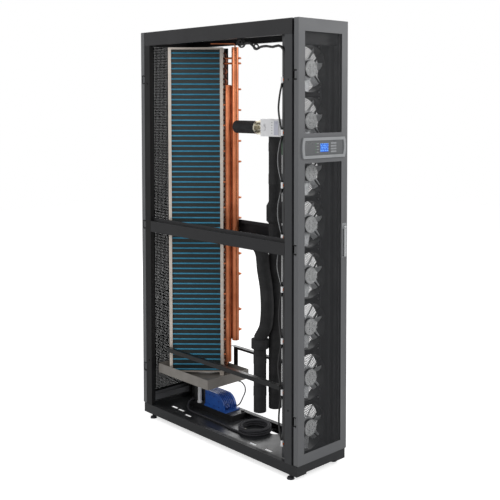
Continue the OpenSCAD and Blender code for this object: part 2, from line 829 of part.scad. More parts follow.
// The insulated return pipe: from the thin header behind the brace, then down.
return_branch_z = 946;
return_dir = unit([-0.3, -0.95, 0]);
return_bare = header_gap + 23;
return_first = insul_r + 3;
branch_b_r = 11;
header_b_at = [header_b_xy[0], header_b_xy[1], return_branch_z];
return_p0 = header_b_at + return_dir * return_bare;
return_p1 = return_p0 + return_dir * return_first;
return_route = [
    return_p1 - return_dir * 3, [57, 44, 946], [52, -10, 946], [45, -66, 944], [39, -108, 932],
    [36, -134, 896], [36, -142, 830], [37, -158, 760], [37, -166, 690], [37, -166, 620],
    [37, -156, 560], [36, -132, 520], [return_x, return_y, return_union_z + union_h - 1]
];
module return_insulation() {
    color("#2a2b2d") {
        rod(return_p0, return_p1, insul_r);
        swept(curve(return_route, 2), insul_r - 0.5, 16, [1, 0, 0]);
        difference() {
            union() {
                translate([return_x, return_y, return_end_z])
                    cylinder(r = insul_r - 1, h = return_union_z - return_end_z);
                translate([return_x, return_y, return_union_z])
                    rotate_extrude() polygon([
                        [0, 0], [insul_r - 1, 0], [union_r, 5], [union_r, union_h - 5],
                        [insul_r - 1, union_h], [0, union_h]]);
            }
            translate([return_x, return_y, return_end_z - eps])
                cylinder(r = pipe_bore_r, h = pipe_socket + eps);
        }
    }
}

// ---------------------------------------------------------------- condensate

pan_x0 = -128;
pan_x1 = 134;
pan_y0 = 69;
pan_y1 = 457;
drain_x = 46;
drain_y = 344;
module drain_pan() {
    color("#8a8783") {
        difference() {
            span([pan_x0, pan_y0, pan_z], [pan_x1, pan_y1, pan_z + pan_h]);
            span([pan_x0 + frame_t, pan_y0 + frame_t, pan_z + frame_t],
                 [pan_x1 - frame_t, pan_y1 - frame_t, pan_z + pan_h + eps]);
            translate([drain_x, drain_y, pan_z - eps]) cylinder(r = 7, h = frame_t + 2 * eps);
        }
    }
}

tray_x0 = 32;
tray_y0 = 76;
tray_z1 = floor_z + tray_h;
tray_wall = 2.5;
// The white drain tube from the pan's floor to the tray.
module drain_tube() {
    color("#d9dadb") difference() {
        union() {
            translate([drain_x, drain_y, tray_z1 + 8]) cylinder(r = 9, h = pan_z - tray_z1 - 8);
            translate([drain_x, drain_y, tray_z1]) cylinder(r = 12, h = 8);
        }
        translate([drain_x, drain_y, tray_z1 - eps]) cylinder(r = 6.5, h = pan_z);
    }
}

// The tray under the pump: a black moulding with rounded ends and a knob.
tray_y1 = tray_y0 + tray_len;
module pump_tray() {
    color("#161617") {
        difference() {
            hull() for (x = [tray_x0 + 8, tray_x0 + tray_w - 8], y = [tray_y0 + 8, tray_y1 - 8])
                translate([x, y, floor_z]) cylinder(r1 = 8, r2 = 6, h = tray_h, $fn = 32);
            translate([drain_x, drain_y, floor_z + 8]) cylinder(r = 6, h = tray_h);
        }
        translate([tray_x0 + tray_w - 14, tray_y0 + 14, tray_z1]) cylinder(r = 9, h = 9);
    }
}

// The pump: a base flange, two quarter-round cheeks and a ribbed motor cover.
pump_y0 = 127;
pump_y1 = pump_y0 + pump_len;
pump_r = pump_h - 8;
cheek_t = 5;
rib_count = 6;
lead_x = 111;
lead_y = pump_y0 + 11;
lead_z = tray_z1 + 22;
module pump_profile(r) {
    // quarter round towards the front, flat to the rear, drawn in y and z
    intersection() {
        union() {
            translate([pump_y0 + pump_h, 0]) circle(r = r, $fn = 96);
            translate([pump_y0 + pump_h, 0]) square([pump_len - pump_h - 8, r]);
        }
        translate([pump_y0 - eps, 0]) square([pump_len, pump_h + eps]);
    }
}
module pump_slice(x0, x1, r) {
    translate([x0, 0, tray_z1 + 8]) rotate([90, 0, 90])
        linear_extrude(x1 - x0) pump_profile(r);
}
module pump_housing() {
    x0 = tray_x0 + 2;
    x1 = tray_x0 + tray_w - 4;
    color("#2f62b4") {
        span([x0 - 1, pump_y0 - 2, tray_z1], [x1 + 1, pump_y1, tray_z1 + 8]);
        pump_slice(x0, x0 + cheek_t, pump_h - 8);
        pump_slice(x0 + cheek_t, x1, pump_h - 20);
        for (k = [1 : rib_count])
            pump_slice(x0 + cheek_t + k * 11, x0 + cheek_t + k * 11 + 3, pump_h - 13);
        // the gland that the lead leaves through
        rod([lead_x, pump_y0 + 40, lead_z], [lead_x, lead_y, lead_z], 6);
    }
}

// The float tank behind the pump.
tank_r = 37;
tank_x = tray_x0 + tray_w / 2;
tank_y = tray_y1 - 40;
module condensate_tank() {
    color("#1b1c1e") {
        translate([tank_x, tank_y, tray_z1]) cylinder(r = tank_r, h = 124);
        translate([tank_x, tank_y, tray_z1 + 124]) cylinder(r = tank_r + 2, h = 9);
        translate([tank_x - 12, tank_y, tray_z1 + 133])
            cylinder(r = 9, h = pan_z - tray_z1 - 133 - seat);
    }
}

// The discharge hose: a tail along the floor to a coil of six turns.
hose_coil_x = 41.7;
hose_coil_y = -77.3;
hose_layers = 3;
hose_z = floor_z + hose_d / 2;
hose_end_x = hose_coil_x - hose_coil_r - hose_d / 2;
hose_route = [
    [tank_x - tank_r, tank_y, tray_z1 + 10], [30, tank_y, tray_z1 + 9], [14, tank_y - 1, 80],
    [0, tank_y - 7, 70], [-12, tank_y - 19, 60], [-20, tank_y - 36, 53],
    [-23, tank_y - 60, hose_z], [-24, 270, hose_z], [-24, 200, hose_z], [-25, 130, hose_z],
    [-27, 70, hose_z], [hose_end_x, 10, hose_z], [hose_end_x, -18, hose_z],
    [hose_end_x, -38, hose_z]
];
module discharge_hose() {
    color("#141415") swept(curve(hose_route, 4), hose_d / 2, 10, [0, 0, 1]);
}
module discharge_hose_coil() {
    color("#141415") translate([hose_coil_x, hose_coil_y, floor_z])
        rotate_extrude($fn = 72) translate([hose_coil_r - hose_d, 0])
            square([2 * hose_d, hose_layers * hose_d]);
}

// The pump's lead: out of the pump, round in a loop and up under the pan.
lead_route = [
    [lead_x, lead_y, lead_z], [lead_x, lead_y - 10, lead_z], [lead_x, 108, 112],
    [110, 84, 150], [108, 65, 184], [106, 66, 210], [104, 86, 226], [102, 114, 227],
    [100, 140, 220], [98, 158, 218], [96, 170, 226], [96, 172, 236], [96, 172, pan_z]
];
module pump_lead() {
    color("#161617") swept(curve(lead_route, 3), 3, 8, [0.7, 0.7, 0.1]);
}

// ---------------------------------------------------------------- wiring

harness_x = -bulkhead_half - 6.2;
harness_y = -450;
harness_r = 5.5;
harness_top = [
    [-104, -116, 63], [-104, -116, 42], [-104, -118, 20], [-106, -132, -4],
    [-110, -158, -24], [-113, -184, -22], [-116, -210, -18], [-118, -240, -34],
    [-119, -264, -50], [-120, -290, -42], [-122, -330, -40], [-125, -372, -46],
    [-128, -412, -42], [harness_x, -438, -56], [harness_x, harness_y, -88]
];
harness_end_z = 150;
harness_sway = [0, -2, 2, -2, 1, -3, 2, -2, 1, -3, 2, -2, 2, -3, 2, 0, 0];
harness_drop = top_z0 - 148 - harness_end_z;
harness_route = concat(
    [for (p = harness_top) [p[0], p[1], top_z0 + p[2]]],
    [for (k = [0 : len(harness_sway) - 1])
        [harness_x, harness_y + harness_sway[k],
         harness_end_z + harness_drop * (1 - k / (len(harness_sway) - 1))]]
);
module wiring_harness() {
    color("#131314") swept(curve(harness_route, 2), harness_r, 8, [1, 0.05, 0]);
}

// A connector for each fan, clipped to the bulkhead beside the harness.
conn = [9, 11, 26];
module harness_connectors() {
    color("#e6e2da") for (i = [0 : 7])
        span([-bulkhead_half - conn[0], bulkhead_y1 - conn[1] - 1, fan_z(i) - 62],
             [-bulkhead_half, bulkhead_y1 - 1, fan_z(i) - 62 + conn[2]]);
}

// A narrow board of terminals behind the bulkhead, between two fans.
board_w = 18;
board_h = 64;
module control_board() {
    z = (fan_z(5) + fan_z(6)) / 2;
    color("#3d7a4a") span([-bulkhead_half + 1, bulkhead_y1, z - board_h / 2],
                          [-bulkhead_half + 1 + board_w, bulkhead_y1 + 3, z + board_h / 2]);
}

// ---------------------------------------------------------------- hinges

hinge_x = -side_x + hinge_inset;
front_axis_y = -door_y + door_t - front_hinge_out;
rear_axis_y = door_y - door_t + rear_hinge_out;
hinge_pitch = (cab_h - hinge_top_gap - hinge_z0) / 2;
function hinge_z(k) = hinge_z0 + hinge_pitch * k;
hinge_play = 0.5;

// Brackets for one door: axis_gap is the distance from the posts to the axis.
// Built with the axis at the origin and the posts towards +Y.
module hinge_bracket(axis_gap) {
    half = hinge_len / 2;
    for (s = [-1, 1])
        translate([-2.5, -hinge_knuckle_r, s * (half - hinge_arm_t / 2) - hinge_arm_t / 2])
            cube([hinge_inset + 1, axis_gap + hinge_knuckle_r, hinge_arm_t]);
    translate([-2.5, axis_gap - 1.6, -half]) cube([hinge_inset + 1, 1.6, hinge_len]);
    translate([0, 0, -half]) cylinder(r = hinge_pin_r, h = hinge_len);
}
// The knuckle on the door, with a web to the door's face.
module hinge_knuckle(web) {
    half = hinge_len / 2 - hinge_arm_t - hinge_play;
    difference() {
        union() {
            translate([0, 0, -half]) cylinder(r = hinge_knuckle_r, h = 2 * half);
            translate([-2, -web, -half]) cube([4, web, 2 * half]);
        }
        translate([0, 0, -half - eps]) cylinder(r = hinge_pin_r + hinge_clear, h = 2 * half + 2 * eps);
    }
}
// Room for the bracket and the swing of the knuckle in the door's edge.
module hinge_notch(out) {
    half = hinge_len / 2 + 2;
    translate([-hinge_inset - eps, -12, -half]) cube([hinge_inset + 9, 12 + out + eps, 2 * half]);
}
module at_front_hinges() {
    for (k = [0 : 2]) translate([hinge_x, front_axis_y, hinge_z(k)]) children();
}
module at_rear_hinges() {
    for (k = [0 : 2]) translate([hinge_x, rear_axis_y, hinge_z(k)]) mirror([0, 1, 0]) children();
}
module hinge_brackets() {
    color("#6a6c6e") {
        at_front_hinges() hinge_bracket(front_y - front_axis_y);
        at_rear_hinges() hinge_bracket(rear_axis_y - rear_y);
    }
}

// ---------------------------------------------------------------- doors

// A door: a pan with a lip round its back. Built with its face at y = 0 and
// its back at y = door_t. windows are the heights of its openings.
module door_pan(windows) {
    difference() {
        translate([-side_x, 0, door_z0]) cube([cab_w, door_t, cab_h - door_z0]);
        translate([-side_x + door_sheet, door_sheet, door_z0 + door_sheet])
            cube([cab_w - 2 * door_sheet, door_t - 2 * door_sheet, cab_h - door_z0 - 2 * door_sheet]);
        translate([-side_x + door_lip, door_sheet, door_z0 + door_lip])
            cube([cab_w - 2 * door_lip, door_t, cab_h - door_z0 - 2 * door_lip]);
        for (w = windows)
            translate([-window_w / 2, -eps, w[0]]) cube([window_w, door_sheet + 2 * eps, w[1] - w[0]]);
    }
}
front_windows = [[window_z0, band_z0], [band_z1, window_z1]];
rear_windows = [[window_z0, window_z1]];

// A sheet with two columns of slots, laid behind a window.
module slotted_sheet(w) {
    z0 = w[0] - mesh_lap;
    z1 = w[1] + mesh_lap;
    count = floor((w[1] - w[0] - mesh_slot_h) / mesh_pitch) + 1;
    first = (w[0] + w[1]) / 2 - (count - 1) * mesh_pitch / 2;
    translate([0, mesh_t, 0]) rotate([90, 0, 0]) linear_extrude(mesh_t) difference() {
        translate([-window_w / 2 - mesh_lap, z0]) square([window_w + 2 * mesh_lap, z1 - z0]);
        for (s = [-1, 1], k = [0 : count - 1])
            translate([s * (window_w / 4) - mesh_slot_w / 2, first + k * mesh_pitch - mesh_slot_h / 2])
                square([mesh_slot_w, mesh_slot_h]);
    }
}
module at_front_door() {
    translate([0, -door_y, 0]) children();
}
module at_rear_door() {
    translate([0, door_y, 0]) mirror([0, 1, 0]) children();
}

dish_w = stile_w - mesh_lap - 4;
lever_w = dish_w - lever_side_gap;
dish_x = side_x - stile_w / 2;
dish_z0 = dish_z - dish_h / 2;
spindle_z = dish_z + dish_h / 2 - 16;
module front_door_frame() {
    color("#7c7e80") {
        difference() {
            at_front_door() door_pan(front_windows);
            at_front_hinges() hinge_notch(front_hinge_out);
            // cut-out for the handle's dish
            translate([dish_x - dish_w / 2 + 2, -door_y - eps, dish_z0 + 2])
                cube([dish_w - 4, door_sheet + 2 * eps, dish_h - 4]);
        }
        at_front_hinges() hinge_knuckle(door_t - front_hinge_out - door_sheet);
    }
}
module front_door_mesh() {
    color("#3c3d3f") at_front_door() translate([0, door_sheet, 0])
        for (w = front_windows) slotted_sheet(w);
}
gasket_w = 10;
gasket_x = side_x - 14;
module front_door_gasket() {
    h = gasket_gap - seat;
    color("#101011") translate([0, -door_y + door_t, 0]) difference() {
        span([-gasket_x, 0, door_z0 + 4], [gasket_x, h, cab_h - 4]);
        span([-gasket_x + gasket_w, -eps, door_z0 + 4 + gasket_w],
             [gasket_x - gasket_w, h + eps, cab_h - 4 - gasket_w]);
    }
}

// The display's surround: straight above and below, bowed at the ends.
bow_r = (bezel_h * bezel_h / 4 + bezel_bow * bezel_bow) / (2 * bezel_bow);
module bowed(w, h, r, y0, y1) {
    intersection() {
        span([-w / 2, y0, display_z - h / 2], [w / 2, y1, display_z + h / 2]);
        for_both_ends(w, r, y0, y1);
    }
}
module for_both_ends(w, r, y0, y1) {
    intersection() {
        translate([w / 2 - r, y1, display_z]) rotate([90, 0, 0])
            cylinder(r = r, h = y1 - y0, $fn = 180);
        translate([-w / 2 + r, y1, display_z]) rotate([90, 0, 0])
            cylinder(r = r, h = y1 - y0, $fn = 180);
    }
}
bezel_y0 = -door_y - trim_proud;
module display_bezel() {
    color("#a3a5a6") difference() {
        bowed(bezel_w, bezel_h, bow_r, bezel_y0, -door_y);
        bowed(bezel_w - 2 * bezel_rim, bezel_h - 2 * bezel_rim, bow_r, bezel_y0 - eps, -door_y + eps);
    }
}
panel_w = bezel_w - 2 * bezel_rim - 2 * seat;
panel_h = bezel_h - 2 * bezel_rim - 2 * seat;
panel_y0 = -door_y - panel_t;
key_x = screen_w / 2 + 14 + key_w / 2;
function key_z(k) = display_z + (1.5 - k) * key_pitch;
key_y0 = panel_y0 - 1.6;
key_y1 = panel_y0 + 1.7;
module display_panel() {
    color("#77797b") difference() {
        bowed(panel_w, panel_h, bow_r, panel_y0, -door_y);
        span([-screen_w / 2, panel_y0 - eps, display_z - screen_h / 2],
             [screen_w / 2, panel_y0 + 0.8, display_z + screen_h / 2]);
        for (k = [0 : 3])
            span([key_x - key_w / 2 - seat, panel_y0 - eps, key_z(k) - key_h / 2 - seat],
                 [key_x + key_w / 2 + seat, key_y1 + key_travel + seat, key_z(k) + key_h / 2 + seat]);
    }
}
module display_screen() {
    color("#1247b0") span([-screen_w / 2, panel_y0 - 0.4, display_z - screen_h / 2],
                          [screen_w / 2, panel_y0 + 0.8, display_z + screen_h / 2]);
}
module key(k) {
    color("#8d8f92") span([key_x - key_w / 2, key_y0, key_z(k) - key_h / 2],
                          [key_x + key_w / 2, key_y1, key_z(k) + key_h / 2]);
}
module key_1() {
    key(0);
}
module key_2() {
    key(1);
}
module key_3() {
    key(2);
}
module key_4() {
    key(3);
}

// ---------------------------------------------------------------- handle

dish_lip = 0.8;
dish_wall = 1.5;
boss_r = 10;
module handle_dish() {
    y1 = -door_y + dish_depth;
    color("#26272a") difference() {
        union() {
            span([dish_x - dish_w / 2, -door_y - dish_lip, dish_z0],
                 [dish_x + dish_w / 2, -door_y, dish_z0 + dish_h]);
            span([dish_x - dish_w / 2 + 2 + seat, -door_y, dish_z0 + 2 + seat],
                 [dish_x + dish_w / 2 - 2 - seat, y1, dish_z0 + dish_h - 2 - seat]);
        }
        span([dish_x - dish_w / 2 + 2 + dish_wall, -door_y - dish_lip - eps, dish_z0 + 2 + dish_wall],
             [dish_x + dish_w / 2 - 2 - dish_wall, y1 - dish_wall, spindle_z - boss_r]);
        rod([dish_x, -door_y - dish_lip - eps, spindle_z], [dish_x, y1 + eps, spindle_z],
            spindle_r + run);
    }
}
lever_y0 = -door_y - trim_proud;
lever_y1 = lever_y0 + lever_t;
lug_t = 5;
pivot_r = 1.6;
pivot_y = lever_y0 + lever_t / 2;
cam_y = -door_y + dish_depth + 2;
cam_t = 3;
cam_len = 17;
// The spindle: a lug in front, the round shaft and the cam behind the door.
module lock_spindle() {
    color("#5c5e61") {
        rod([dish_x, -door_y - dish_lip - seat, spindle_z], [dish_x, cam_y + cam_t, spindle_z], spindle_r);
        span([dish_x - lug_t / 2, lever_y0 + 0.4, spindle_z - 6],
             [dish_x + lug_t / 2, -door_y - dish_lip - seat, spindle_z + 6]);
        rod([dish_x - lever_w / 2 + 0.5, pivot_y, spindle_z], [dish_x + lever_w / 2 - 0.5, pivot_y, spindle_z],
            pivot_r);
        span([dish_x - 5, cam_y, spindle_z - 7], [dish_x + cam_len - 5, cam_y + cam_t, spindle_z + 7]);
    }
}
// The lever: two ears round the lug and a grip that lies over the dish.
lever_z0 = dish_z0 + 5;
module swing_lever() {
    ear = (lever_w - lug_t) / 2 - seat;
    color("#b4b6b8") difference() {
        union() {
            span([dish_x - lever_w / 2, lever_y0, lever_z0],
                 [dish_x + lever_w / 2, lever_y1, spindle_z - 8]);
            for (s = [-1, 1])
                translate([dish_x + s * (lever_w - ear) / 2 - ear / 2, 0, 0]) {
                    span([0, lever_y0, spindle_z - 9], [ear, lever_y1, spindle_z]);
                    rod([0, pivot_y, spindle_z], [ear, pivot_y, spindle_z], lever_t / 2);
                }
        }
        rod([dish_x - lever_w, pivot_y, spindle_z], [dish_x + lever_w, pivot_y, spindle_z],
            pivot_r + run);
        // keyhole of the lock in the lever's lower third
        rod([dish_x, lever_y0 - eps, lever_z0 + 36], [dish_x, lever_y0 + 1.2, lever_z0 + 36], 4);
    }
}

// ---------------------------------------------------------------- rear door

rear_latch_z = 1000;
rear_latch_x = side_x - stile_w / 2;
module rear_door_frame() {
    color("#5a5c5e") {
        difference() {
            at_rear_door() door_pan(rear_windows);
            at_rear_hinges() hinge_notch(rear_hinge_out);
            rod([rear_latch_x, door_y - door_sheet - eps, rear_latch_z],
                [rear_latch_x, door_y + eps, rear_latch_z], spindle_r + run);
        }
        at_rear_hinges() hinge_knuckle(door_t - rear_hinge_out - door_sheet);
    }
}
module rear_door_mesh() {
    color("#333436") at_rear_door() translate([0, door_sheet, 0])
        for (w = rear_windows) slotted_sheet(w);
}
// A quarter-turn latch: a knob outside, the shaft and the cam inside.
module rear_latch() {
    color("#2a2b2e") {
        rod([rear_latch_x, door_y - door_sheet - 4, rear_latch_z],
            [rear_latch_x, door_y + 1, rear_latch_z], spindle_r);
        rod([rear_latch_x, door_y + seat, rear_latch_z], [rear_latch_x, door_y + 3, rear_latch_z], 14);
        span([rear_latch_x - 4, door_y + 2, rear_latch_z - 14],
             [rear_latch_x + 4, door_y + trim_proud, rear_latch_z + 14]);
        span([rear_latch_x - 5, door_y - door_sheet - 7, rear_latch_z - 7],
             [rear_latch_x + 12, door_y - door_sheet - 4, rear_latch_z + 7]);
    }
}

// ---------------------------------------------------------------- drawing

base_frame();
floor_pan();
leveling_feet();
posts_front();
posts_rear();
top_frame();
top_panel();
side_brace_left();
side_brace_right();
coil_rail_left();
coil_rail_right();
fan_bulkhead();
fan_housings();
fan_rotor_1();
fan_rotor_2();
fan_rotor_3();
fan_rotor_4();
fan_rotor_5();
fan_rotor_6();
fan_rotor_7();
fan_rotor_8();
coil_casing();
coil_core();
return_bends();
supply_header();
return_header();
drain_pan();
drain_tube();
valve_body();
valve_stem();
actuator_housing();
actuator_button();
supply_insulation();
return_insulation();
pump_tray();
pump_housing();
condensate_tank();
discharge_hose();
discharge_hose_coil();
pump_lead();
wiring_harness();
harness_connectors();
control_board();
hinge_brackets();
front_door_frame();
front_door_mesh();
front_door_gasket();
display_bezel();
display_panel();
display_screen();
handle_dish();
lock_spindle();
swing_lever();
key_1();
key_2();
key_3();
key_4();
rear_door_frame();
rear_door_mesh();
rear_latch();
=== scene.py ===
"""Dresses the in-row cooling unit: finishes, fans, coil, perforated doors, pipes and cables."""

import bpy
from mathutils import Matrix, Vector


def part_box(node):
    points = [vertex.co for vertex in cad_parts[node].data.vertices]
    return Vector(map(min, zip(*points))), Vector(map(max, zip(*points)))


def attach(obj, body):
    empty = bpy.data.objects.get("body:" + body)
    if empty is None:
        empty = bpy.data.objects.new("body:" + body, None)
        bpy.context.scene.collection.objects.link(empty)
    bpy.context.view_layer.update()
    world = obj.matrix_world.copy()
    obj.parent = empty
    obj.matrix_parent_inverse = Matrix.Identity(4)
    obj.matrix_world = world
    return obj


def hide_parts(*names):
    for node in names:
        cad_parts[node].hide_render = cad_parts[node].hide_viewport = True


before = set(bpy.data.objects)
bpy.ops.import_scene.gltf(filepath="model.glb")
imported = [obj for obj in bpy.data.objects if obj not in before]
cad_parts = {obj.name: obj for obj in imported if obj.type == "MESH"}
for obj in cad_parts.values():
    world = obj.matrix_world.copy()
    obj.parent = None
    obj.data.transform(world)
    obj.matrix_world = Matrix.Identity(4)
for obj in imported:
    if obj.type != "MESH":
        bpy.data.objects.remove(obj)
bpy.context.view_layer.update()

import logging
import math
from dataclasses import dataclass, field
from enum import Enum

import bmesh
import bpy
from mathutils import Matrix, Vector

log = logging.getLogger("cooling_unit")
logging.basicConfig(level=logging.INFO, format="%(name)s: %(message)s")

Point = tuple[float, float, float]
MM = 0.001
CABINET = "cabinet"
FRONT_DOOR = "front_door"
REAR_DOOR = "rear_door"
# Places of the share and the two colours among a colour mix's inputs, and of its result.
SHARE, FIRST, SECOND = 0, 6, 7
MIXED = 2
# Edges that turn by less than this many degrees shade smooth; a bevel takes sharper ones.
SMOOTH_BELOW = 32
BEVEL_ABOVE = 35


# ------------------------------------------------------------------ small tools


def linear(hex_colour: str) -> tuple[float, float, float, float]:
    """Turn an sRGB colour into the linear values that the shaders take.

    Args:
        hex_colour: six hex digits with a leading hash.

    Returns:
        Red, green and blue as linear numbers, and an alpha of one.
    """
    values = [int(hex_colour[i : i + 2], 16) / 255 for i in (1, 3, 5)]
    out = [v / 12.92 if v <= 0.04045 else ((v + 0.055) / 1.055) ** 2.4 for v in values]
    return (out[0], out[1], out[2], 1.0)


def add(
    tree: bpy.types.NodeTree, kind: str, links: dict | None = None, **settings,
) -> bpy.types.Node:
    """Add one node with its settings, its inputs' values and its links.

    Args:
        tree: the tree that the node goes into.
        kind: the node's type name.
        links: input name or index to a value or to another node's output socket.
        settings: properties of the node itself.

    Returns:
        The new node.
    """
    node = tree.nodes.new(kind)
    for name, value in settings.items():
        setattr(node, name, value)
    for key, value in (links or {}).items():
        socket = node.inputs[key]
        if isinstance(value, bpy.types.NodeSocket):
            tree.links.new(value, socket)
        else:
            socket.default_value = value
    return node


def blank_material(name: str) -> tuple[bpy.types.Material, bpy.types.NodeTree, bpy.types.Node]:
    """Make a material with nothing but its output.

    Args:
        name: its name.

    Returns:
        The material, its tree and its output node.
    """
    material = bpy.data.materials.new(name)
    material.use_nodes = True
    material.node_tree.nodes.clear()
    return material, material.node_tree, add(material.node_tree, "ShaderNodeOutputMaterial")


def box_of(node: str) -> tuple[Vector, Vector]:
    """Lowest and highest corner of a CAD node.

    Args:
        node: the node's name.

    Returns:
        The two corners, in metres.
    """
    low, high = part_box(node)
    return Vector(low), Vector(high)


def smooth_route(points: list[Point], steps: int) -> list[Vector]:
    """Sample the smooth curve that a cable follows.

    Args:
        points: the route's points, in millimetres.
        steps: samples from one point to the next.

    Returns:
        The samples in metres.
    """
    knots = [Vector(p) * MM for p in points]
    out: list[Vector] = []
    for i in range(len(knots) - 1):
        a, b = knots[max(i - 1, 0)], knots[i]
        c, d = knots[i + 1], knots[min(i + 2, len(knots) - 1)]
        for j in range(steps):
            t = j / steps
            curve = 2 * b + (c - a) * t
            curve += (2 * a - 5 * b + 4 * c - d) * t * t
            curve += (3 * b - a - 3 * c + d) * t**3
            out.append(0.5 * curve)
    out.append(knots[-1])
    return out


def eased(share: float) -> float:
    """Ease a number in and out, and hold it at nought and at one.

    Args:
        share: the number.

    Returns:
        The eased number, from nought to one.
    """
    held = min(max(share, 0.0), 1.0)
    return held * held * (3 - 2 * held)


def paint(node: str, material: bpy.types.Material) -> None:
    """Give a CAD node one material and leave its shape alone.

    Args:
        node: the node's name.
        material: the material.
    """
    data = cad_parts[node].data
    data.materials.clear()
    data.materials.append(material)
    for face in data.polygons:
        face.material_index = 0


def route_length(path: list[Vector]) -> float:
    """Length of a path.

    Args:
        path: its points, in metres.

    Returns:
        The length in metres.
    """
    return sum((b - a).length for a, b in zip(path, path[1:]))


# ------------------------------------------------------------------ finishes


class Grain(Enum):
    """The kinds of surface relief that a finish can have."""

    ORANGE_PEEL = "orange peel"
    BRUSHED = "brushed"
    FOAM = "foam"
    SMOOTH = "smooth"


@dataclass(frozen=True)
class Finish:
    """A material named for what the real one is.

    Attributes:
        name: the material's name.
        colour: its main colour, sRGB hex.
        second: the colour that it drifts towards in patches.
        metallic: one for bare metal.
        roughness: middle roughness.
        spread: how far the roughness drifts either way.
        grain: kind of relief.
        grain_mm: size of the relief in millimetres.
        relief: strength of the relief.
        patch_mm: size of the patches of the second colour.
        patch: how much of the second colour shows.
        coat: clear coat weight.
        specular: strength of the mirror-like part; a dull powder coat has little.
    """

    name: str
    colour: str
    second: str
    metallic: float = 0.0
    roughness: float = 0.5
    spread: float = 0.06
    grain: Grain = Grain.SMOOTH
    grain_mm: float = 3.0
    relief: float = 0.1
    patch_mm: float = 120.0
    patch: float = 0.5
    coat: float = 0.0
    specular: float = 0.5

    def build(self) -> bpy.types.Material:
        """Make the material's node tree.

        Returns:
            The material.
        """
        known = bpy.data.materials.get(self.name)
        if known:
            return known
        material, tree, out = blank_material(self.name)
        place = add(tree, "ShaderNodeTexCoord").outputs["Object"]
        patches = add(
            tree,
            "ShaderNodeTexNoise",
            {"Vector": place, "Scale": 1000 / self.patch_mm, "Detail": 4.0, "Roughness": 0.6},
        )
        share = add(
            tree,
            "ShaderNodeMapRange",
            {
                "Value": patches.outputs["Fac"], "From Min": 0.35, "From Max": 0.72,
                "To Min": 0.0, "To Max": self.patch,
            },
        )
        colours = {FIRST: linear(self.colour), SECOND: linear(self.second)}
        colour = add(
            tree, "ShaderNodeMix", {SHARE: share.outputs["Result"], **colours}, data_type="RGBA",
        ).outputs[MIXED]
        rough = add(
            tree,
            "ShaderNodeMapRange",
            {
                "Value": patches.outputs["Fac"],
                "From Min": 0.3,
                "From Max": 0.7,
                "To Min": max(self.roughness - self.spread, 0.03),
                "To Max": min(self.roughness + self.spread, 1.0),
            },
        )
        shader = add(
            tree,
            "ShaderNodeBsdfPrincipled",
            {
                "Base Color": colour, "Roughness": rough.outputs["Result"],
                "Metallic": self.metallic, "Coat Weight": self.coat,
                "Specular IOR Level": self.specular,
            },
        )
        height = self._relief(tree, place)
        if height is not None:
            bump = add(
                tree,
                "ShaderNodeBump",
                {"Height": height, "Strength": self.relief, "Distance": self.grain_mm * MM * 0.4},
            )
            tree.links.new(bump.outputs["Normal"], shader.inputs["Normal"])
        tree.links.new(shader.outputs["BSDF"], out.inputs["Surface"])
        return material

    def _relief(
        self, tree: bpy.types.NodeTree, place: bpy.types.NodeSocket,
    ) -> bpy.types.NodeSocket | None:
        """Make the height field of the finish's grain.

        Args:
            tree: the material's tree.
            place: the object's coordinates.

        Returns:
            The height's socket, or None for a smooth surface.
        """
        scale = 1000 / self.grain_mm
        if self.grain is Grain.SMOOTH:
            return None
        if self.grain is Grain.BRUSHED:
            turned = add(
                tree, "ShaderNodeMapping", {"Vector": place, "Scale": (scale, scale, scale * 0.03)}
            )
            noise = add(
                tree, "ShaderNodeTexNoise",
                {"Vector": turned.outputs["Vector"], "Scale": 1.0, "Detail": 3.0},
            )
            return noise.outputs["Fac"]
        if self.grain is Grain.FOAM:
            cells = add(tree, "ShaderNodeTexVoronoi", {"Vector": place, "Scale": scale})
            return cells.outputs["Distance"]
        noise = add(tree, "ShaderNodeTexNoise", {"Vector": place, "Scale": scale, "Detail": 2.0})
        return noise.outputs["Fac"]


# Powder baked on steel, lighter than the frame as painted light: a fine orange peel breaks up a
# soft, dark sheen.
LIT_POST_COAT = Finish(
    "powder_coated_post_painted_light", "#333436", "#2c2d2f", specular=0.3, roughness=0.4,
    grain=Grain.ORANGE_PEEL, grain_mm=2.5, relief=0.12,
)
# Copper bends behind the coil's face, darkened as painted shade: red-brown with near-black patches.
BEND_SHADE = Finish(
    "copper_bend_painted_shade", "#6b3620", "#25120b", metallic=0.6, patch_mm=14, patch=0.9,
)
# Punched sheet under black powder: hardly any sheen, so the holes read.
REAR_SCREEN = Finish(
    "black_perforated_sheet", "#0f0f10", "#0b0b0c", specular=0.15, roughness=0.55,
    grain=Grain.ORANGE_PEEL, grain_mm=2.0, relief=0.06,
)
# Powder coat rubbed by hoses and hands: a little glossier than the frame.
FLOOR_COAT = Finish(
    "powder_coated_floor_sheet", "#27282a", "#202122", specular=0.4, roughness=0.34,
    grain=Grain.ORANGE_PEEL, grain_mm=2.5,
)
# Mid grey powder coat: the pale fans stand out before it.
BULKHEAD_COAT = Finish(
    "powder_coated_bulkhead", "#38393b", "#303133", roughness=0.45, grain=Grain.ORANGE_PEEL,
    grain_mm=2.5,
)
# Die-cast lid, left pale: bright and matt with a slight pebble.
MOTOR_CAP = Finish(
    "die_cast_motor_cap", "#f2f3f3", "#d2d4d5", patch_mm=9, patch=0.9, grain=Grain.ORANGE_PEEL,
    grain_mm=2.0, relief=0.15,
)
# Dark powder coat: edges catch a thin line of light, faces stay quiet.
FRAME_COAT = Finish(
    "powder_coated_steel_dark", "#1f1f21", "#1a1a1b", specular=0.28, roughness=0.42,
    grain=Grain.ORANGE_PEEL, grain_mm=2.5, relief=0.12,
)
# Powder coat darker than the frame's, as painted shade on the rear: nearly without highlights.
SHADED_FRAME_COAT = Finish(
    "powder_coated_steel_painted_shade", "#121213", "#0e0e0f", specular=0.2, grain=Grain.ORANGE_PEEL,
    grain_mm=2.5, relief=0.12,
)
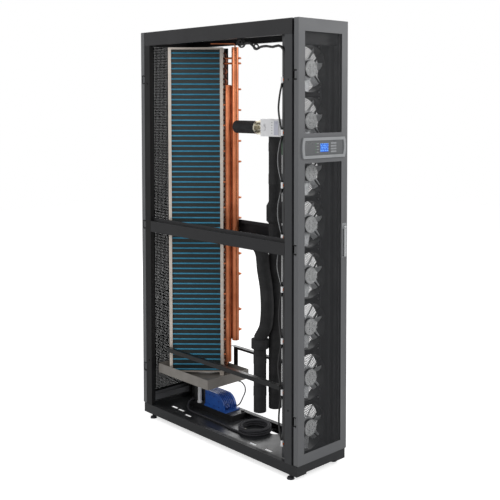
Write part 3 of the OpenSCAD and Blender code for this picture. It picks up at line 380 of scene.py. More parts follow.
# Grey powder coat on broad doors: its tone drifts slowly over a third of a metre.
DOOR_COAT = Finish(
    "powder_coated_steel_grey", "#5a5b5d", "#505154", specular=0.4, roughness=0.38,
    grain=Grain.ORANGE_PEEL, grain_mm=2.2, patch_mm=300,
)
# Thick powder coat near the ground: dull, with a broad soft sheen.
PLINTH_COAT = Finish(
    "powder_coated_plinth", "#202123", "#1a1b1c", specular=0.3, roughness=0.45,
    grain=Grain.ORANGE_PEEL, grain_mm=2.5, relief=0.12,
)
# Punched and powder-coated sheet: thin bars with a dull grey face.
SCREEN_COAT = Finish(
    "powder_coated_perforated_sheet", "#3a3b3d", "#333436", specular=0.3, grain=Grain.ORANGE_PEEL,
    grain_mm=2.0, relief=0.06,
)
# Black passivated steel: oily dark metal with a soft streak of light.
RAIL_COAT = Finish(
    "black_passivated_steel", "#0f1011", "#0a0b0c", specular=0.4, metallic=0.2, roughness=0.36,
    grain=Grain.ORANGE_PEEL, grain_mm=2.0, relief=0.08,
)
# Zinc plate: cool bright metal with small spangles and fine drawing lines.
ZINC = Finish(
    "zinc_plated_steel", "#b9babb", "#989a9c", metallic=1.0, roughness=0.34, patch_mm=12,
    grain=Grain.BRUSHED, grain_mm=0.8, relief=0.06,
)
# Spun aluminium: fine turning marks, and light caught at the edges.
FAN_METAL = Finish(
    "cast_aluminium_fan", "#e4e6e8", "#babdc0", metallic=0.35, roughness=0.42, patch_mm=22,
    grain=Grain.BRUSHED, grain_mm=1.2, relief=0.12,
)
# Stoved enamel: a smooth, slightly wet black.
FAN_BLACK = Finish(
    "black_enamelled_fan_ring", "#1b1c1e", "#141516", roughness=0.45, grain=Grain.ORANGE_PEEL,
    grain_mm=2.0, relief=0.08,
)
# Mill finish aluminium: warm pale metal, clouded by handling.
MILL_SHEET = Finish(
    "mill_finish_aluminium_sheet", "#c4bbb2", "#a39a90", metallic=0.55, roughness=0.42,
    patch_mm=60, grain=Grain.BRUSHED, grain_mm=1.2, relief=0.06,
)
# Weathered aluminium sheet: grey and soft, with only blurred reflections.
DULL_SHEET = Finish(
    "dull_aluminium_pan", "#7f7b76", "#6b6762", metallic=0.35, patch_mm=70, grain=Grain.BRUSHED,
    grain_mm=1.5, relief=0.06,
)
# The unlit depth of a fin pack: almost black and quite matt.
FIN_BACK = Finish("fin_pack_shadow", "#0f1211", "#0b0d0c", specular=0.2, roughness=0.7)
# Drawn copper: rosy metal that darkens softly where it was brazed and handled.
COPPER = Finish(
    "drawn_copper", "#c67a55", "#8f4a2a", metallic=0.85, roughness=0.32, patch_mm=90, patch=0.75,
    grain=Grain.BRUSHED, grain_mm=1.2, relief=0.05,
)
# Tarnished copper: brown blotches with glints of the bare metal.
COPPER_DARK = Finish(
    "tarnished_copper", "#a8623c", "#4a2415", metallic=0.8, roughness=0.4, patch_mm=25, patch=0.9,
)
# Closed-cell rubber foam: matt and finely pitted, with worn paler patches.
FOAM = Finish(
    "closed_cell_rubber_foam", "#2b2b2c", "#1f1f20", specular=0.25, roughness=0.78, patch_mm=45,
    patch=0.8, grain=Grain.FOAM, grain_mm=3.5, relief=0.22,
)
# Foam tape: smoother than the foam, so each wrap shows as a faint band.
TAPE = Finish(
    "rubber_foam_tape", "#252526", "#1c1c1d", specular=0.3, roughness=0.66, patch_mm=30,
    grain=Grain.FOAM, grain_mm=2.5, relief=0.15,
)
# Extruded rubber: dark with one long soft highlight.
RUBBER = Finish(
    "black_rubber", "#1a1a1b", "#121213", roughness=0.42, patch_mm=30, grain=Grain.ORANGE_PEEL,
    grain_mm=1.5, relief=0.08,
)
# Woven cable sleeve: a rough skin that scatters the light.
SLEEVE = Finish(
    "black_cable_sleeve", "#151516", "#0d0d0e", roughness=0.55, patch_mm=12, grain=Grain.FOAM,
    grain_mm=2.2, relief=0.3,
)
# Moulded polypropylene: satin black with a spark-eroded texture.
BLACK_PLASTIC = Finish(
    "black_polypropylene", "#111112", "#0b0b0c", specular=0.4, roughness=0.4, patch_mm=40,
    grain=Grain.ORANGE_PEEL, grain_mm=1.4, relief=0.12,
)
# Moulded ABS dyed blue: strong even colour under a satin skin.
BLUE_PLASTIC = Finish(
    "blue_abs_moulding", "#2457ab", "#173d80", roughness=0.34, patch_mm=35, patch=0.6,
    grain=Grain.ORANGE_PEEL, grain_mm=1.6,
)
# The same ABS in the shade of its ribs.
DEEP_BLUE = Finish("blue_abs_rib", "#16377a", "#0f2757", roughness=0.4, patch_mm=25)
# Moulded white ABS: clean and slightly soft at its edges.
WHITE_PLASTIC = Finish(
    "white_abs_moulding", "#e6e6e8", "#d8d8da", roughness=0.42, patch_mm=40,
    grain=Grain.ORANGE_PEEL, grain_mm=1.2, relief=0.05,
)
# Pale grey ABS with a cool cast, to set the cover off from its housing.
LILAC_PLASTIC = Finish(
    "pale_grey_abs_moulding", "#bfc0cd", "#b2b3c1", roughness=0.4, patch_mm=30,
    grain=Grain.ORANGE_PEEL, grain_mm=1.2, relief=0.05,
)
# Grey ABS surround: satin, with a very fine texture.
GREY_PLASTIC = Finish(
    "grey_abs_moulding", "#8b8d8f", "#7d7f81", roughness=0.36, patch_mm=60,
    grain=Grain.ORANGE_PEEL, grain_mm=1.4, relief=0.08,
)
# Polyester film over the keypad: smoother and darker than its surround.
PANEL_FILM = Finish(
    "polyester_keypad_film", "#4e5052", "#47494b", roughness=0.3, patch_mm=60,
    grain=Grain.ORANGE_PEEL, grain_mm=1.0, relief=0.05,
)
# Light key caps: smooth from use.
KEY_PLASTIC = Finish("light_grey_key", "#86888b", "#7d7f82", roughness=0.36, patch_mm=12)
# Nickel-plated brass: warm silver with clear reflections.
NICKEL = Finish(
    "nickel_plated_brass", "#c9c4b4", "#a49d89", metallic=0.95, roughness=0.3, patch_mm=14,
)
# Solder mask: deep green under a thin clear skin.
BOARD_GREEN = Finish(
    "green_solder_mask", "#4f8f58", "#3d7547", roughness=0.35, patch_mm=6, coat=0.3,
)
# Sponge gasket: a soft black line round the door.
GASKET_FOAM = Finish(
    "black_door_gasket", "#0e0e0f", "#09090a", roughness=0.8, patch_mm=10, grain=Grain.FOAM,
    grain_mm=2.0, relief=0.2,
)
# Satin chrome on die-cast zinc: broad bright highlights.
SATIN_LEVER = Finish(
    "satin_chromed_zinc_lever", "#c4c6c8", "#a8aaac", metallic=0.8, roughness=0.28, patch_mm=30,
)
# Earth wire: yellow drifting into green along its length.
GREEN_YELLOW = Finish(
    "earth_wire_sheath", "#c9b82e", "#5d8a3c", roughness=0.4, patch_mm=10, patch=1.0,
)
# Orange nylon plugs: small warm dots beside the fans.
ORANGE_PLUG = Finish("orange_nylon_plug", "#d97a4a", "#c2643a", roughness=0.4, patch_mm=6)
# Grey PVC sheath: plain and slightly glossy.
GREY_SHEATH = Finish("grey_pvc_sheath", "#8e8f91", "#7d7e80", roughness=0.45, patch_mm=30)


@dataclass(frozen=True)
class LitScreen:
    """A lit blue liquid crystal screen with plain pale bars.

    Attributes:
        name: the material's name.
        ground: colour of the unlit rows.
        bar: colour of the bars.
        rows: how many rows the screen has.
        bar_share: how much of a row is dark.
        words: how fine the gaps in the bars are.
        word_gap: how much of a bar is gap.
        glow: how bright the screen is.
    """

    name: str = "lit_liquid_crystal"
    ground: str = "#1450b8"
    bar: str = "#5a9be8"
    rows: int = 5
    bar_share: float = 0.45
    words: float = 190.0
    word_gap: float = 0.47
    glow: float = 0.35

    def build(self, low: Vector, high: Vector) -> bpy.types.Material:
        """Make the screen's material, with bars across its middle.

        Args:
            low: the screen's lowest corner.
            high: its highest corner.

        Returns:
            The material.
        """
        material, tree, out = blank_material(self.name)
        place = add(tree, "ShaderNodeTexCoord").outputs["Object"]
        axes = add(tree, "ShaderNodeSeparateXYZ", {"Vector": place})
        row = (high.z - low.z) / self.rows
        rows = add(tree, "ShaderNodeMath", {0: axes.outputs["Z"], 1: low.z}, operation="SUBTRACT")
        phase = add(tree, "ShaderNodeMath", {0: rows.outputs[0], 1: row}, operation="MODULO")
        lit = add(
            tree, "ShaderNodeMath", {0: phase.outputs[0], 1: row * self.bar_share},
            operation="GREATER_THAN",
        )
        words = add(
            tree, "ShaderNodeTexNoise", {"Vector": place, "Scale": self.words, "Detail": 1.0},
        )
        gaps = add(
            tree, "ShaderNodeMath", {0: words.outputs["Fac"], 1: self.word_gap},
            operation="GREATER_THAN",
        )
        both = add(
            tree, "ShaderNodeMath", {0: lit.outputs[0], 1: gaps.outputs[0]}, operation="MULTIPLY",
        )
        colours = {FIRST: linear(self.ground), SECOND: linear(self.bar)}
        colour = add(
            tree, "ShaderNodeMix", {SHARE: both.outputs[0], **colours}, data_type="RGBA",
        ).outputs[MIXED]
        shader = add(
            tree,
            "ShaderNodeBsdfPrincipled",
            {
                "Base Color": colour, "Emission Color": colour, "Emission Strength": self.glow,
                "Roughness": 0.15,
            },
        )
        tree.links.new(shader.outputs["BSDF"], out.inputs["Surface"])
        return material


@dataclass(frozen=True)
class FinPack:
    """The fin pack's face: thin dark fins crossed by blue tube rows.

    Attributes:
        name: the material's name.
        fin: colour of the fins' edges, kept dark as painted shade.
        gap: colour of the gaps between fins, darker still as painted shade.
        tube: colour of a tube row.
        glint: colour of the lit top of a tube row.
        pitch_mm: distance between tube rows.
        first_mm: height of the lowest row's centre.
        band_mm: height of the coloured band.
        fin_mm: distance between fins, coarser than real ones so that they show.
        glints: how fine the glints on the tubes are.
    """

    name: str = "fin_pack_with_blue_tubes"
    fin: str = "#2c3332"
    gap: str = "#121616"
    tube: str = "#256a88"
    glint: str = "#3f8cab"
    pitch_mm: float = 25.4
    first_mm: float = 274.0
    band_mm: float = 7.5
    fin_mm: float = 2.2
    glints: float = 45.0

    def build(self) -> bpy.types.Material:
        """Make the material from waves across the fins and bands along the tubes.

        Returns:
            The material.
        """
        material, tree, out = blank_material(self.name)
        place = add(tree, "ShaderNodeTexCoord").outputs["Object"]
        axes = add(tree, "ShaderNodeSeparateXYZ", {"Vector": place})
        start = add(
            tree, "ShaderNodeMath",
            {0: axes.outputs["Z"], 1: (self.first_mm - self.pitch_mm / 2) * MM},
            operation="SUBTRACT",
        )
        row = add(
            tree, "ShaderNodeMath", {0: start.outputs[0], 1: self.pitch_mm * MM},
            operation="MODULO",
        )
        away = add(
            tree, "ShaderNodeMath", {0: row.outputs[0], 1: self.pitch_mm / 2 * MM},
            operation="SUBTRACT",
        )
        size = add(tree, "ShaderNodeMath", {0: away.outputs[0]}, operation="ABSOLUTE")
        band = add(
            tree, "ShaderNodeMath", {0: size.outputs[0], 1: self.band_mm / 2 * MM},
            operation="LESS_THAN",
        )
        along = add(
            tree, "ShaderNodeMath", {0: axes.outputs["X"], 1: axes.outputs["Y"]},
            operation="SUBTRACT",
        )
        fins = add(
            tree, "ShaderNodeMath",
            {0: along.outputs[0], 1: 2 * math.pi / (self.fin_mm * MM * 1.414)},
            operation="MULTIPLY",
        )
        wave = add(tree, "ShaderNodeMath", {0: fins.outputs[0]}, operation="SINE")
        share = add(
            tree, "ShaderNodeMapRange",
            {"Value": wave.outputs[0], "From Min": -1.0, "From Max": 1.0},
        )
        spots = add(
            tree, "ShaderNodeTexNoise", {"Vector": place, "Scale": self.glints, "Detail": 3.0},
        )
        # The fins' wave lays painted shade in the gaps between fins.
        mixes = []
        for where, first, second in (
            (share.outputs["Result"], self.gap, self.fin),
            (spots.outputs["Fac"], self.tube, self.glint),
        ):
            colours = {FIRST: linear(first), SECOND: linear(second)}
            mix = add(tree, "ShaderNodeMix", {SHARE: where, **colours}, data_type="RGBA")
            mixes.append(mix.outputs[MIXED])
        colour = add(
            tree, "ShaderNodeMix", {SHARE: band.outputs[0], FIRST: mixes[0], SECOND: mixes[1]},
            data_type="RGBA",
        ).outputs[MIXED]
        shader = add(
            tree, "ShaderNodeBsdfPrincipled",
            {"Base Color": colour, "Roughness": 0.42, "Metallic": 0.1, "Specular IOR Level": 0.25},
        )
        bump = add(
            tree, "ShaderNodeBump",
            {"Height": wave.outputs[0], "Strength": 0.25, "Distance": 0.001},
        )
        tree.links.new(bump.outputs["Normal"], shader.inputs["Normal"])
        tree.links.new(shader.outputs["BSDF"], out.inputs["Surface"])
        return material


# ------------------------------------------------------------------ mesh makers


@dataclass
class Sculpt:
    """Collects solids in one mesh, then makes it a finished piece.

    Attributes:
        name: the piece's name.
        body: the body that it rides on.
        finish: its finish.
        slot: not used.
    """

    name: str
    body: str
    finish: Finish
    slot: str
    mesh: bmesh.types.BMesh = field(default_factory=bmesh.new)

    def block(self, low: Point, high: Point, turn: Matrix | None = None) -> None:
        """Add a box.

        Args:
            low: lowest corner, in millimetres.
            high: highest corner, in millimetres.
            turn: a matrix in metres applied to it.
        """
        a, b = Vector(low) * MM, Vector(high) * MM
        made = bmesh.ops.create_cube(self.mesh, size=1.0)["verts"]
        for v in made:
            v.co = Vector(((v.co[i] + 0.5) * (b[i] - a[i]) + a[i]) for i in range(3))
            if turn:
                v.co = turn @ v.co

    def rod(
        self, start: Point, end: Point, radius: float, sides: int = 20,
        end_radius: float | None = None,
    ) -> None:
        """Add a round bar or cone.

        Args:
            start: centre of one end, in millimetres.
            end: centre of the other end.
            radius: radius at the start.
            sides: number of sides.
            end_radius: radius at the end, if it differs.
        """
        a, b = Vector(start) * MM, Vector(end) * MM
        way = b - a
        last = radius if end_radius is None else end_radius
        made = bmesh.ops.create_cone(
            self.mesh, cap_ends=True, segments=sides, radius1=radius * MM, radius2=last * MM,
            depth=way.length,
        )["verts"]
        place = Matrix.Translation((a + b) / 2) @ way.to_track_quat("Z", "Y").to_matrix().to_4x4()
        for v in made:
            v.co = place @ v.co

    def tube(self, path: list[Vector], radius: float, sides: int = 12) -> None:
        """Add a round tube along a path.

        Args:
            path: its points, in metres.
            radius: its radius in millimetres.
            sides: number of sides.
        """
        angles = [2 * math.pi * k / sides for k in range(sides)]
        side = Vector((0.31, 0.92, 0.24))  # any way that no route runs along
        rings = []
        for i, p in enumerate(path):
            way = (path[min(i + 1, len(path) - 1)] - path[max(i - 1, 0)]).normalized()
            side = (side - way * side.dot(way)).normalized()
            other = way.cross(side)
            rim = [math.cos(a) * side + math.sin(a) * other for a in angles]
            rings.append([self.mesh.verts.new(p + radius * MM * out) for out in rim])
        for low, high in zip(rings, rings[1:]):
            for k in range(sides):
                n = (k + 1) % sides
                self.mesh.faces.new((low[k], low[n], high[n], high[k]))
        self.mesh.faces.new(list(reversed(rings[0])))
        self.mesh.faces.new(rings[-1])

    def ring(
        self, centre: Point, axis: str, inner: float, outer: float, depth: float, sides: int = 40,
    ) -> None:
        """Add a flat ring with rounded edges.

        Args:
            centre: its centre, in millimetres.
            axis: x, y or z, the way that its axis points.
            inner: inner radius.
            outer: outer radius.
            depth: how thick it is along its axis.
            sides: number of sides.
        """
        soft = min(depth, outer - inner) * 0.2
        section = [
            (inner, -depth / 2), (outer - soft, -depth / 2), (outer, -depth / 2 + soft),
            (outer, depth / 2 - soft), (outer - soft, depth / 2), (inner, depth / 2),
        ]
        turn = Vector([float(axis == name) for name in "xyz"]).to_track_quat("Z", "Y")
        rows = []
        for k in range(sides):
            angle = 2 * math.pi * k / sides
            spots = [Vector((r * math.cos(angle), r * math.sin(angle), z)) for r, z in section]
            rows.append([self.mesh.verts.new((Vector(centre) + turn @ s) * MM) for s in spots])
        for k in range(sides):
            near, far = rows[k], rows[(k + 1) % sides]
            for i in range(len(section)):
                j = (i + 1) % len(section)
                self.mesh.faces.new((near[i], far[i], far[j], near[j]))

    def done(self, bevel_mm: float = 0.0) -> bpy.types.Object:
        """Finish the piece: faces outwards, edges softened, finish and body set.

        Args:
            bevel_mm: width of the bevel on its sharp edges, or 0.

        Returns:
            The piece.
        """
        bmesh.ops.recalc_face_normals(self.mesh, faces=self.mesh.faces)
        data = bpy.data.meshes.new(self.name)
        self.mesh.to_mesh(data)
        self.mesh.free()
        piece = bpy.data.objects.new(self.name, data)
        bpy.context.scene.collection.objects.link(piece)
        data.materials.append(self.finish.build())
        soften(piece, bevel_mm)
        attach(piece, self.body)
        log.info("%s: %d faces", self.name, len(data.polygons))
        return piece


def soften(piece: bpy.types.Object, bevel_mm: float) -> None:
    """Bevel a piece's sharp edges and shade its round faces smooth.

    Args:
        piece: the piece.
        bevel_mm: width of the bevel, or 0 for none.
    """
    limit = math.radians(SMOOTH_BELOW)
    work = bmesh.new()
    work.from_mesh(piece.data)
    for edge in work.edges:
        edge.smooth = len(edge.link_faces) == 2 and edge.calc_face_angle(0.0) < limit
    for face in work.faces:
        face.smooth = True
    work.to_mesh(piece.data)
    work.free()
    if bevel_mm > 0:
        bevel = piece.modifiers.new("edge", "BEVEL")
        bevel.width = bevel_mm * MM
        bevel.segments = 2
        bevel.limit_method = "ANGLE"
        bevel.angle_limit = math.radians(BEVEL_ABOVE)
        bevel.use_clamp_overlap = True
        bevel.harden_normals = False


def merged_copy(
    name: str, nodes: list[str], body: str, finish: Finish, bevel_mm: float,
) -> bpy.types.Object:
    """Copy CAD solids with their corners merged, and give them soft edges.

    Args:
        name: the new piece's name.
        nodes: the CAD nodes that it stands for.
        body: the body that it rides on.
        finish: its finish.
        bevel_mm: width of the bevel.

    Returns:
        The piece.
    """
    work = bmesh.new()
    for node in nodes:
        work.from_mesh(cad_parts[node].data)
    bmesh.ops.remove_doubles(work, verts=work.verts, dist=0.00002)
    bmesh.ops.dissolve_limit(
        work, angle_limit=math.radians(0.5), verts=work.verts, edges=work.edges,
    )
    data = bpy.data.meshes.new(name)
    work.to_mesh(data)
    work.free()
    data.materials.clear()
    data.materials.append(finish.build())
    for face in data.polygons:
        face.material_index = 0
    piece = bpy.data.objects.new(name, data)
    bpy.context.scene.collection.objects.link(piece)
    soften(piece, bevel_mm)
    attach(piece, body)
    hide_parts(*nodes)
    log.info("%s: %d faces", name, len(data.polygons))
    return piece


# ------------------------------------------------------------------ repeated things


@dataclass(frozen=True)
class Perforation:
    """Sheet with square holes, made by Geometry Nodes as bars that cross in a grid.

    Attributes:
        pitch_mm: distance from one hole to the next, both ways.
        open_share: how much of that distance is open.
        thickness_mm: thickness of the sheet.
    """

    pitch_mm: float = 7.0
    open_share: float = 0.7
    thickness_mm: float = 1.2

    def tree(self) -> bpy.types.NodeTree:
        """Make the tree that lays bars across the sheet and up it.

        Returns:
            The tree, with named inputs for its sizes.
        """
        group = bpy.data.node_groups.new("perforated_sheet", "GeometryNodeTree")
        face = group.interface
        for name, value in (
            ("Width", 0.2), ("Height", 1.0), ("Pitch", 0.007), ("Bar", 0.0018), ("Thick", 0.0012),
        ):
            socket = face.new_socket(name, in_out="INPUT", socket_type="NodeSocketFloat")
            socket.default_value = value
        face.new_socket("Finish", in_out="INPUT", socket_type="NodeSocketMaterial")
        face.new_socket("Sheet", in_out="OUTPUT", socket_type="NodeSocketGeometry")
        into = add(group, "NodeGroupInput").outputs
        columns = add(
            group, "ShaderNodeMath", {0: into["Width"], 1: into["Pitch"]}, operation="DIVIDE",
        )
        rows = add(
            group, "ShaderNodeMath", {0: into["Height"], 1: into["Pitch"]}, operation="DIVIDE",
        )
        join = add(group, "GeometryNodeJoinGeometry")
        for across, count in ((True, rows), (False, columns)):
            whole = add(group, "ShaderNodeMath", {0: count.outputs[0]}, operation="FLOOR")
            half = add(
                group, "ShaderNodeMath", {0: into["Height" if across else "Width"], 1: 0.5},
                operation="MULTIPLY",
            )
            less = add(group, "ShaderNodeMath", {0: half.outputs[0], 1: -1.0}, operation="MULTIPLY")
            axis = "Z" if across else "X"
            low = add(group, "ShaderNodeCombineXYZ", {axis: less.outputs[0]})
            high = add(group, "ShaderNodeCombineXYZ", {axis: half.outputs[0]})
            ends = {
                "Count": whole.outputs[0], "Start Location": low.outputs[0],
                "Offset": high.outputs[0],
            }
            line = add(group, "GeometryNodeMeshLine", ends, mode="END_POINTS")
            size = add(
                group,
                "ShaderNodeCombineXYZ",
                {
                    "X": into["Width"] if across else into["Bar"],
                    "Y": into["Thick"],
                    "Z": into["Bar"] if across else into["Height"],
                },
            )
            bar = add(group, "GeometryNodeMeshCube", {"Size": size.outputs[0]})
            spread = add(
                group, "GeometryNodeInstanceOnPoints",
                {"Points": line.outputs["Mesh"], "Instance": bar.outputs["Mesh"]},
            )
            group.links.new(spread.outputs["Instances"], join.inputs["Geometry"])
        real = add(group, "GeometryNodeRealizeInstances", {"Geometry": join.outputs["Geometry"]})
        paint = add(
            group, "GeometryNodeSetMaterial",
            {"Geometry": real.outputs["Geometry"], "Material": into["Finish"]},
        )
        add(group, "NodeGroupOutput", {"Sheet": paint.outputs["Geometry"]})
        return group


def run_tree(
    name: str,
    tree: bpy.types.NodeTree,
    values: dict,
    body: str,
    carrier_mesh: bpy.types.Mesh | None = None,
    place: Matrix | None = None,
) -> bpy.types.Object:
    """Evaluate a Geometry Nodes tree and keep its result as a plain mesh.

    Args:
        name: the piece's name.
        tree: the tree.
        values: input name to value, its finish's material among them.
        body: the body that the piece rides on.
        carrier_mesh: the mesh that the tree starts from, if it needs one.
        place: where the result goes, if it moves.

    Returns:
        The piece.
    """
    start = carrier_mesh or bpy.data.meshes.new(name + "_carrier")
    carrier = bpy.data.objects.new(name + "_carrier", start)
    bpy.context.scene.collection.objects.link(carrier)
    modifier = carrier.modifiers.new("tree", "NODES")
    modifier.node_group = tree
    for item in tree.interface.items_tree:
        if item.item_type == "SOCKET" and item.in_out == "INPUT" and item.name in values:
            modifier[item.identifier] = values[item.name]
    bpy.context.view_layer.update()
    depsgraph = bpy.context.evaluated_depsgraph_get()
    data = bpy.data.meshes.new_from_object(carrier.evaluated_get(depsgraph), depsgraph=depsgraph)
    bpy.data.objects.remove(carrier)
    data.name = name
    if place:
        data.transform(place)
    if not data.materials:
        data.materials.append(values["Finish"])
    piece = bpy.data.objects.new(name, data)
    bpy.context.scene.collection.objects.link(piece)
    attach(piece, body)
    log.info("%s: %d faces", name, len(data.polygons))
    return piece


@dataclass(frozen=True)
class ScrewField:
    """Small domed screw heads at given points, made by Geometry Nodes."""

    def tree(self) -> bpy.types.NodeTree:
        """Make the tree that puts a screw head on each of a mesh's points.

        Returns:
            The tree, with named inputs for the head's sizes.
        """
        group = bpy.data.node_groups.new("screw_heads", "GeometryNodeTree")
        face = group.interface
        face.new_socket("Points", in_out="INPUT", socket_type="NodeSocketGeometry")
        for name, value in (("Radius", 0.003), ("Height", 0.0015)):
            face.new_socket(
                name, in_out="INPUT", socket_type="NodeSocketFloat",
            ).default_value = value
        face.new_socket("Finish", in_out="INPUT", socket_type="NodeSocketMaterial")
        face.new_socket("Heads", in_out="OUTPUT", socket_type="NodeSocketGeometry")
        into = add(group, "NodeGroupInput").outputs
        head = add(
            group, "GeometryNodeMeshCylinder",
            {"Vertices": 10, "Radius": into["Radius"], "Depth": into["Height"]},
        )
        points = add(group, "GeometryNodeMeshToPoints", {"Mesh": into["Points"]})
        normal = add(
            group, "GeometryNodeInputNamedAttribute", {"Name": "way"}, data_type="FLOAT_VECTOR",
        )
        turn = add(
            group, "FunctionNodeAlignRotationToVector", {"Vector": normal.outputs["Attribute"]},
            axis="Z",
        )
        spread = add(
            group,
            "GeometryNodeInstanceOnPoints",
            {
                "Points": points.outputs[0], "Instance": head.outputs["Mesh"],
                "Rotation": turn.outputs[0],
            },
        )
        real = add(group, "GeometryNodeRealizeInstances", {"Geometry": spread.outputs["Instances"]})
        paint = add(
            group, "GeometryNodeSetMaterial",
            {"Geometry": real.outputs["Geometry"], "Material": into["Finish"]},
        )
        add(group, "NodeGroupOutput", {"Heads": paint.outputs["Geometry"]})
        return group

    def lay(
        self, name: str, heads: list[tuple[Point, Point]], radius: float, height: float,
        body: str, finish: Finish,
    ) -> bpy.types.Object:
        """Put screw heads on a body.

        Args:
            name: the piece's name.
            heads: centre in millimetres and direction of each head.
            radius: their radius in millimetres.
            height: their height.
            body: the body that they ride on.
            finish: their finish.

        Returns:
            The piece.
        """
        tree = bpy.data.node_groups.get("screw_heads") or self.tree()
        carrier_mesh = bpy.data.meshes.new(name + "_points")
        carrier_mesh.from_pydata([Vector(p) * MM for p, _ in heads], [], [])
        way = carrier_mesh.attributes.new("way", "FLOAT_VECTOR", "POINT")
        for i, (_, direction) in enumerate(heads):
            way.data[i].vector = direction
        values = {"Radius": radius * MM, "Height": height * MM, "Finish": finish.build()}
        return run_tree(name, tree, values, body, carrier_mesh)


# ------------------------------------------------------------------ studio


# Each lamp's name, place and aim in metres, width in metres and power in watts.
LAMPS = (
    ("key_lamp", (-1.9, -4.6, 3.3), (0, 0, 1.0), 2.6, 115),
    ("side_lamp", (-4.6, 0.2, 2.4), (0, 0, 0.9), 2.4, 48),
    ("right_lamp", (3.6, -3.2, 2.6), (0, -0.3, 1.0), 2.4, 45),
    ("rear_lamp", (2.2, 3.8, 2.8), (0, 0, 1.0), 2.4, 60),
)


@dataclass
class Studio:
    """The camera, the floor and the soft lights.

    Attributes:
        eye: where the camera stands, in metres.
        yaw: its turn from the y axis, in degrees.
        pitch: how far it looks down, in degrees.
        lens: focal length on a 36 mm sensor.
        shift: the frame's shift across and up.
    """

    eye: Point = (-2.6801, -3.0350, 1.5979)
    yaw: float = 43.561
    pitch: float = 3.0
    lens: float = 61.89
    shift: tuple[float, float] = (-0.0375, -0.2016)

    def build(self) -> None:
        """Make the camera, the floor, the lights and the world."""
        camera = bpy.data.cameras.new("camera")
        camera.sensor_width = 36
        camera.lens = self.lens
        camera.shift_x, camera.shift_y = self.shift
        camera.clip_end = 100
        stand = bpy.data.objects.new("camera", camera)
        stand.location = self.eye
        stand.rotation_euler = (math.radians(90 - self.pitch), 0, -math.radians(self.yaw))
        bpy.context.scene.collection.objects.link(stand)
        bpy.context.scene.camera = stand
        self._floor()
        for lamp in LAMPS:
            self._lamp(*lamp)
        self._world()
        bpy.context.scene.view_settings.view_transform = "Standard"

    def _lamp(self, name: str, at: Point, to: Point, size: float, power: float) -> None:
        """Add a soft lamp.

        Args:
            name: its name.
            at: where it hangs.
            to: what it points at.
            size: its width.
            power: its power in watts.
        """
        light = bpy.data.lights.new(name, "AREA")
        light.size = size
        light.energy = power
        lamp = bpy.data.objects.new(name, light)
        lamp.location = at
        lamp.rotation_euler = (Vector(to) - Vector(at)).to_track_quat("-Z", "Y").to_euler()
        bpy.context.scene.collection.objects.link(lamp)

    def _floor(self) -> None:
        """Lay the plain pale floor."""
        data = bpy.data.meshes.new("studio_floor")
        data.from_pydata([(-9, -9, 0), (9, -9, 0), (9, 9, 0), (-9, 9, 0)], [], [(0, 1, 2, 3)])
        ground = bpy.data.objects.new("studio_floor", data)
        bpy.context.scene.collection.objects.link(ground)
        material, tree, out = blank_material("pale_floor")
        matt = add(tree, "ShaderNodeBsdfDiffuse", {"Color": linear("#f4f4f4")})
        glow = add(tree, "ShaderNodeEmission", {"Color": (1, 1, 1, 1), "Strength": 0.62})
        rays = add(tree, "ShaderNodeLightPath")
        seen = add(
            tree, "ShaderNodeMath",
            {0: rays.outputs["Is Camera Ray"], 1: rays.outputs["Is Transmission Ray"]},
            operation="MAXIMUM",
        )
        both = add(tree, "ShaderNodeAddShader", {0: matt.outputs[0], 1: glow.outputs[0]})
        mix = add(
            tree, "ShaderNodeMixShader",
            {0: seen.outputs[0], 1: matt.outputs[0], 2: both.outputs[0]},
        )
        tree.links.new(mix.outputs[0], out.inputs["Surface"])
        data.materials.append(material)

    def _world(self) -> None:
        """Make the pale surroundings, white where the camera sees them."""
        world = bpy.data.worlds.new("studio")
        bpy.context.scene.world = world
        world.use_nodes = True
        tree = world.node_tree
        tree.nodes.clear()
        out = add(tree, "ShaderNodeOutputWorld")
        rays = add(tree, "ShaderNodeLightPath")
        one = add(
            tree, "ShaderNodeMath",
            {0: rays.outputs["Is Camera Ray"], 1: rays.outputs["Is Glossy Ray"]},
            operation="MAXIMUM",
        )
        seen = add(
            tree, "ShaderNodeMath", {0: one.outputs[0], 1: rays.outputs["Is Transmission Ray"]},
            operation="MAXIMUM",
        )
        dim = add(tree, "ShaderNodeBackground", {"Color": (1, 1, 1, 1), "Strength": 0.42})
        white = add(tree, "ShaderNodeBackground", {"Color": (1, 1, 1, 1), "Strength": 1.0})
        mix = add(
            tree, "ShaderNodeMixShader",
            {0: seen.outputs[0], 1: dim.outputs[0], 2: white.outputs[0]},
        )
        tree.links.new(mix.outputs[0], out.inputs["Surface"])


# ------------------------------------------------------------------ cables and hose


# Routes in millimetres: the hose's tail, the pump's lead and the harness under the roof.
HOSE_TAIL = [
    (43, 386, 85), (30, 386, 84), (14, 385, 80), (0, 379, 70), (-12, 367, 60), (-20, 350, 53),
    (-23, 326, 50), (-24, 270, 50), (-24, 200, 50), (-25, 130, 50), (-27, 70, 50),
    (-33.3, 10, 50), (-33.3, -18, 50), (-33.3, -38, 50),
]
LEAD_ROUTE = [
    (111, 138, 97), (111, 128, 97), (111, 108, 112), (110, 84, 150), (108, 65, 184),
    (106, 66, 210), (104, 86, 226), (102, 114, 227), (100, 140, 220), (98, 158, 218),
    (96, 170, 226), (96, 172, 236), (96, 172, 243),
]
HARNESS_TOP = [
    (-104, -116, 1951), (-104, -116, 1930), (-104, -118, 1908), (-106, -132, 1884),
    (-110, -158, 1864), (-113, -184, 1866), (-116, -210, 1870), (-118, -240, 1854),
    (-119, -264, 1838), (-120, -290, 1846), (-122, -330, 1848), (-125, -372, 1842),
    (-128, -412, 1846), (-128.2, -438, 1832), (-128.2, -450, 1800),
]
# How far the harness sways, in millimetres, at each step of its way down beside the fans.
SWAY = [0, -2, 2, -2, 1, -3, 2, -2, 1, -3, 2, -2, 2, -3, 2, 0, 0]


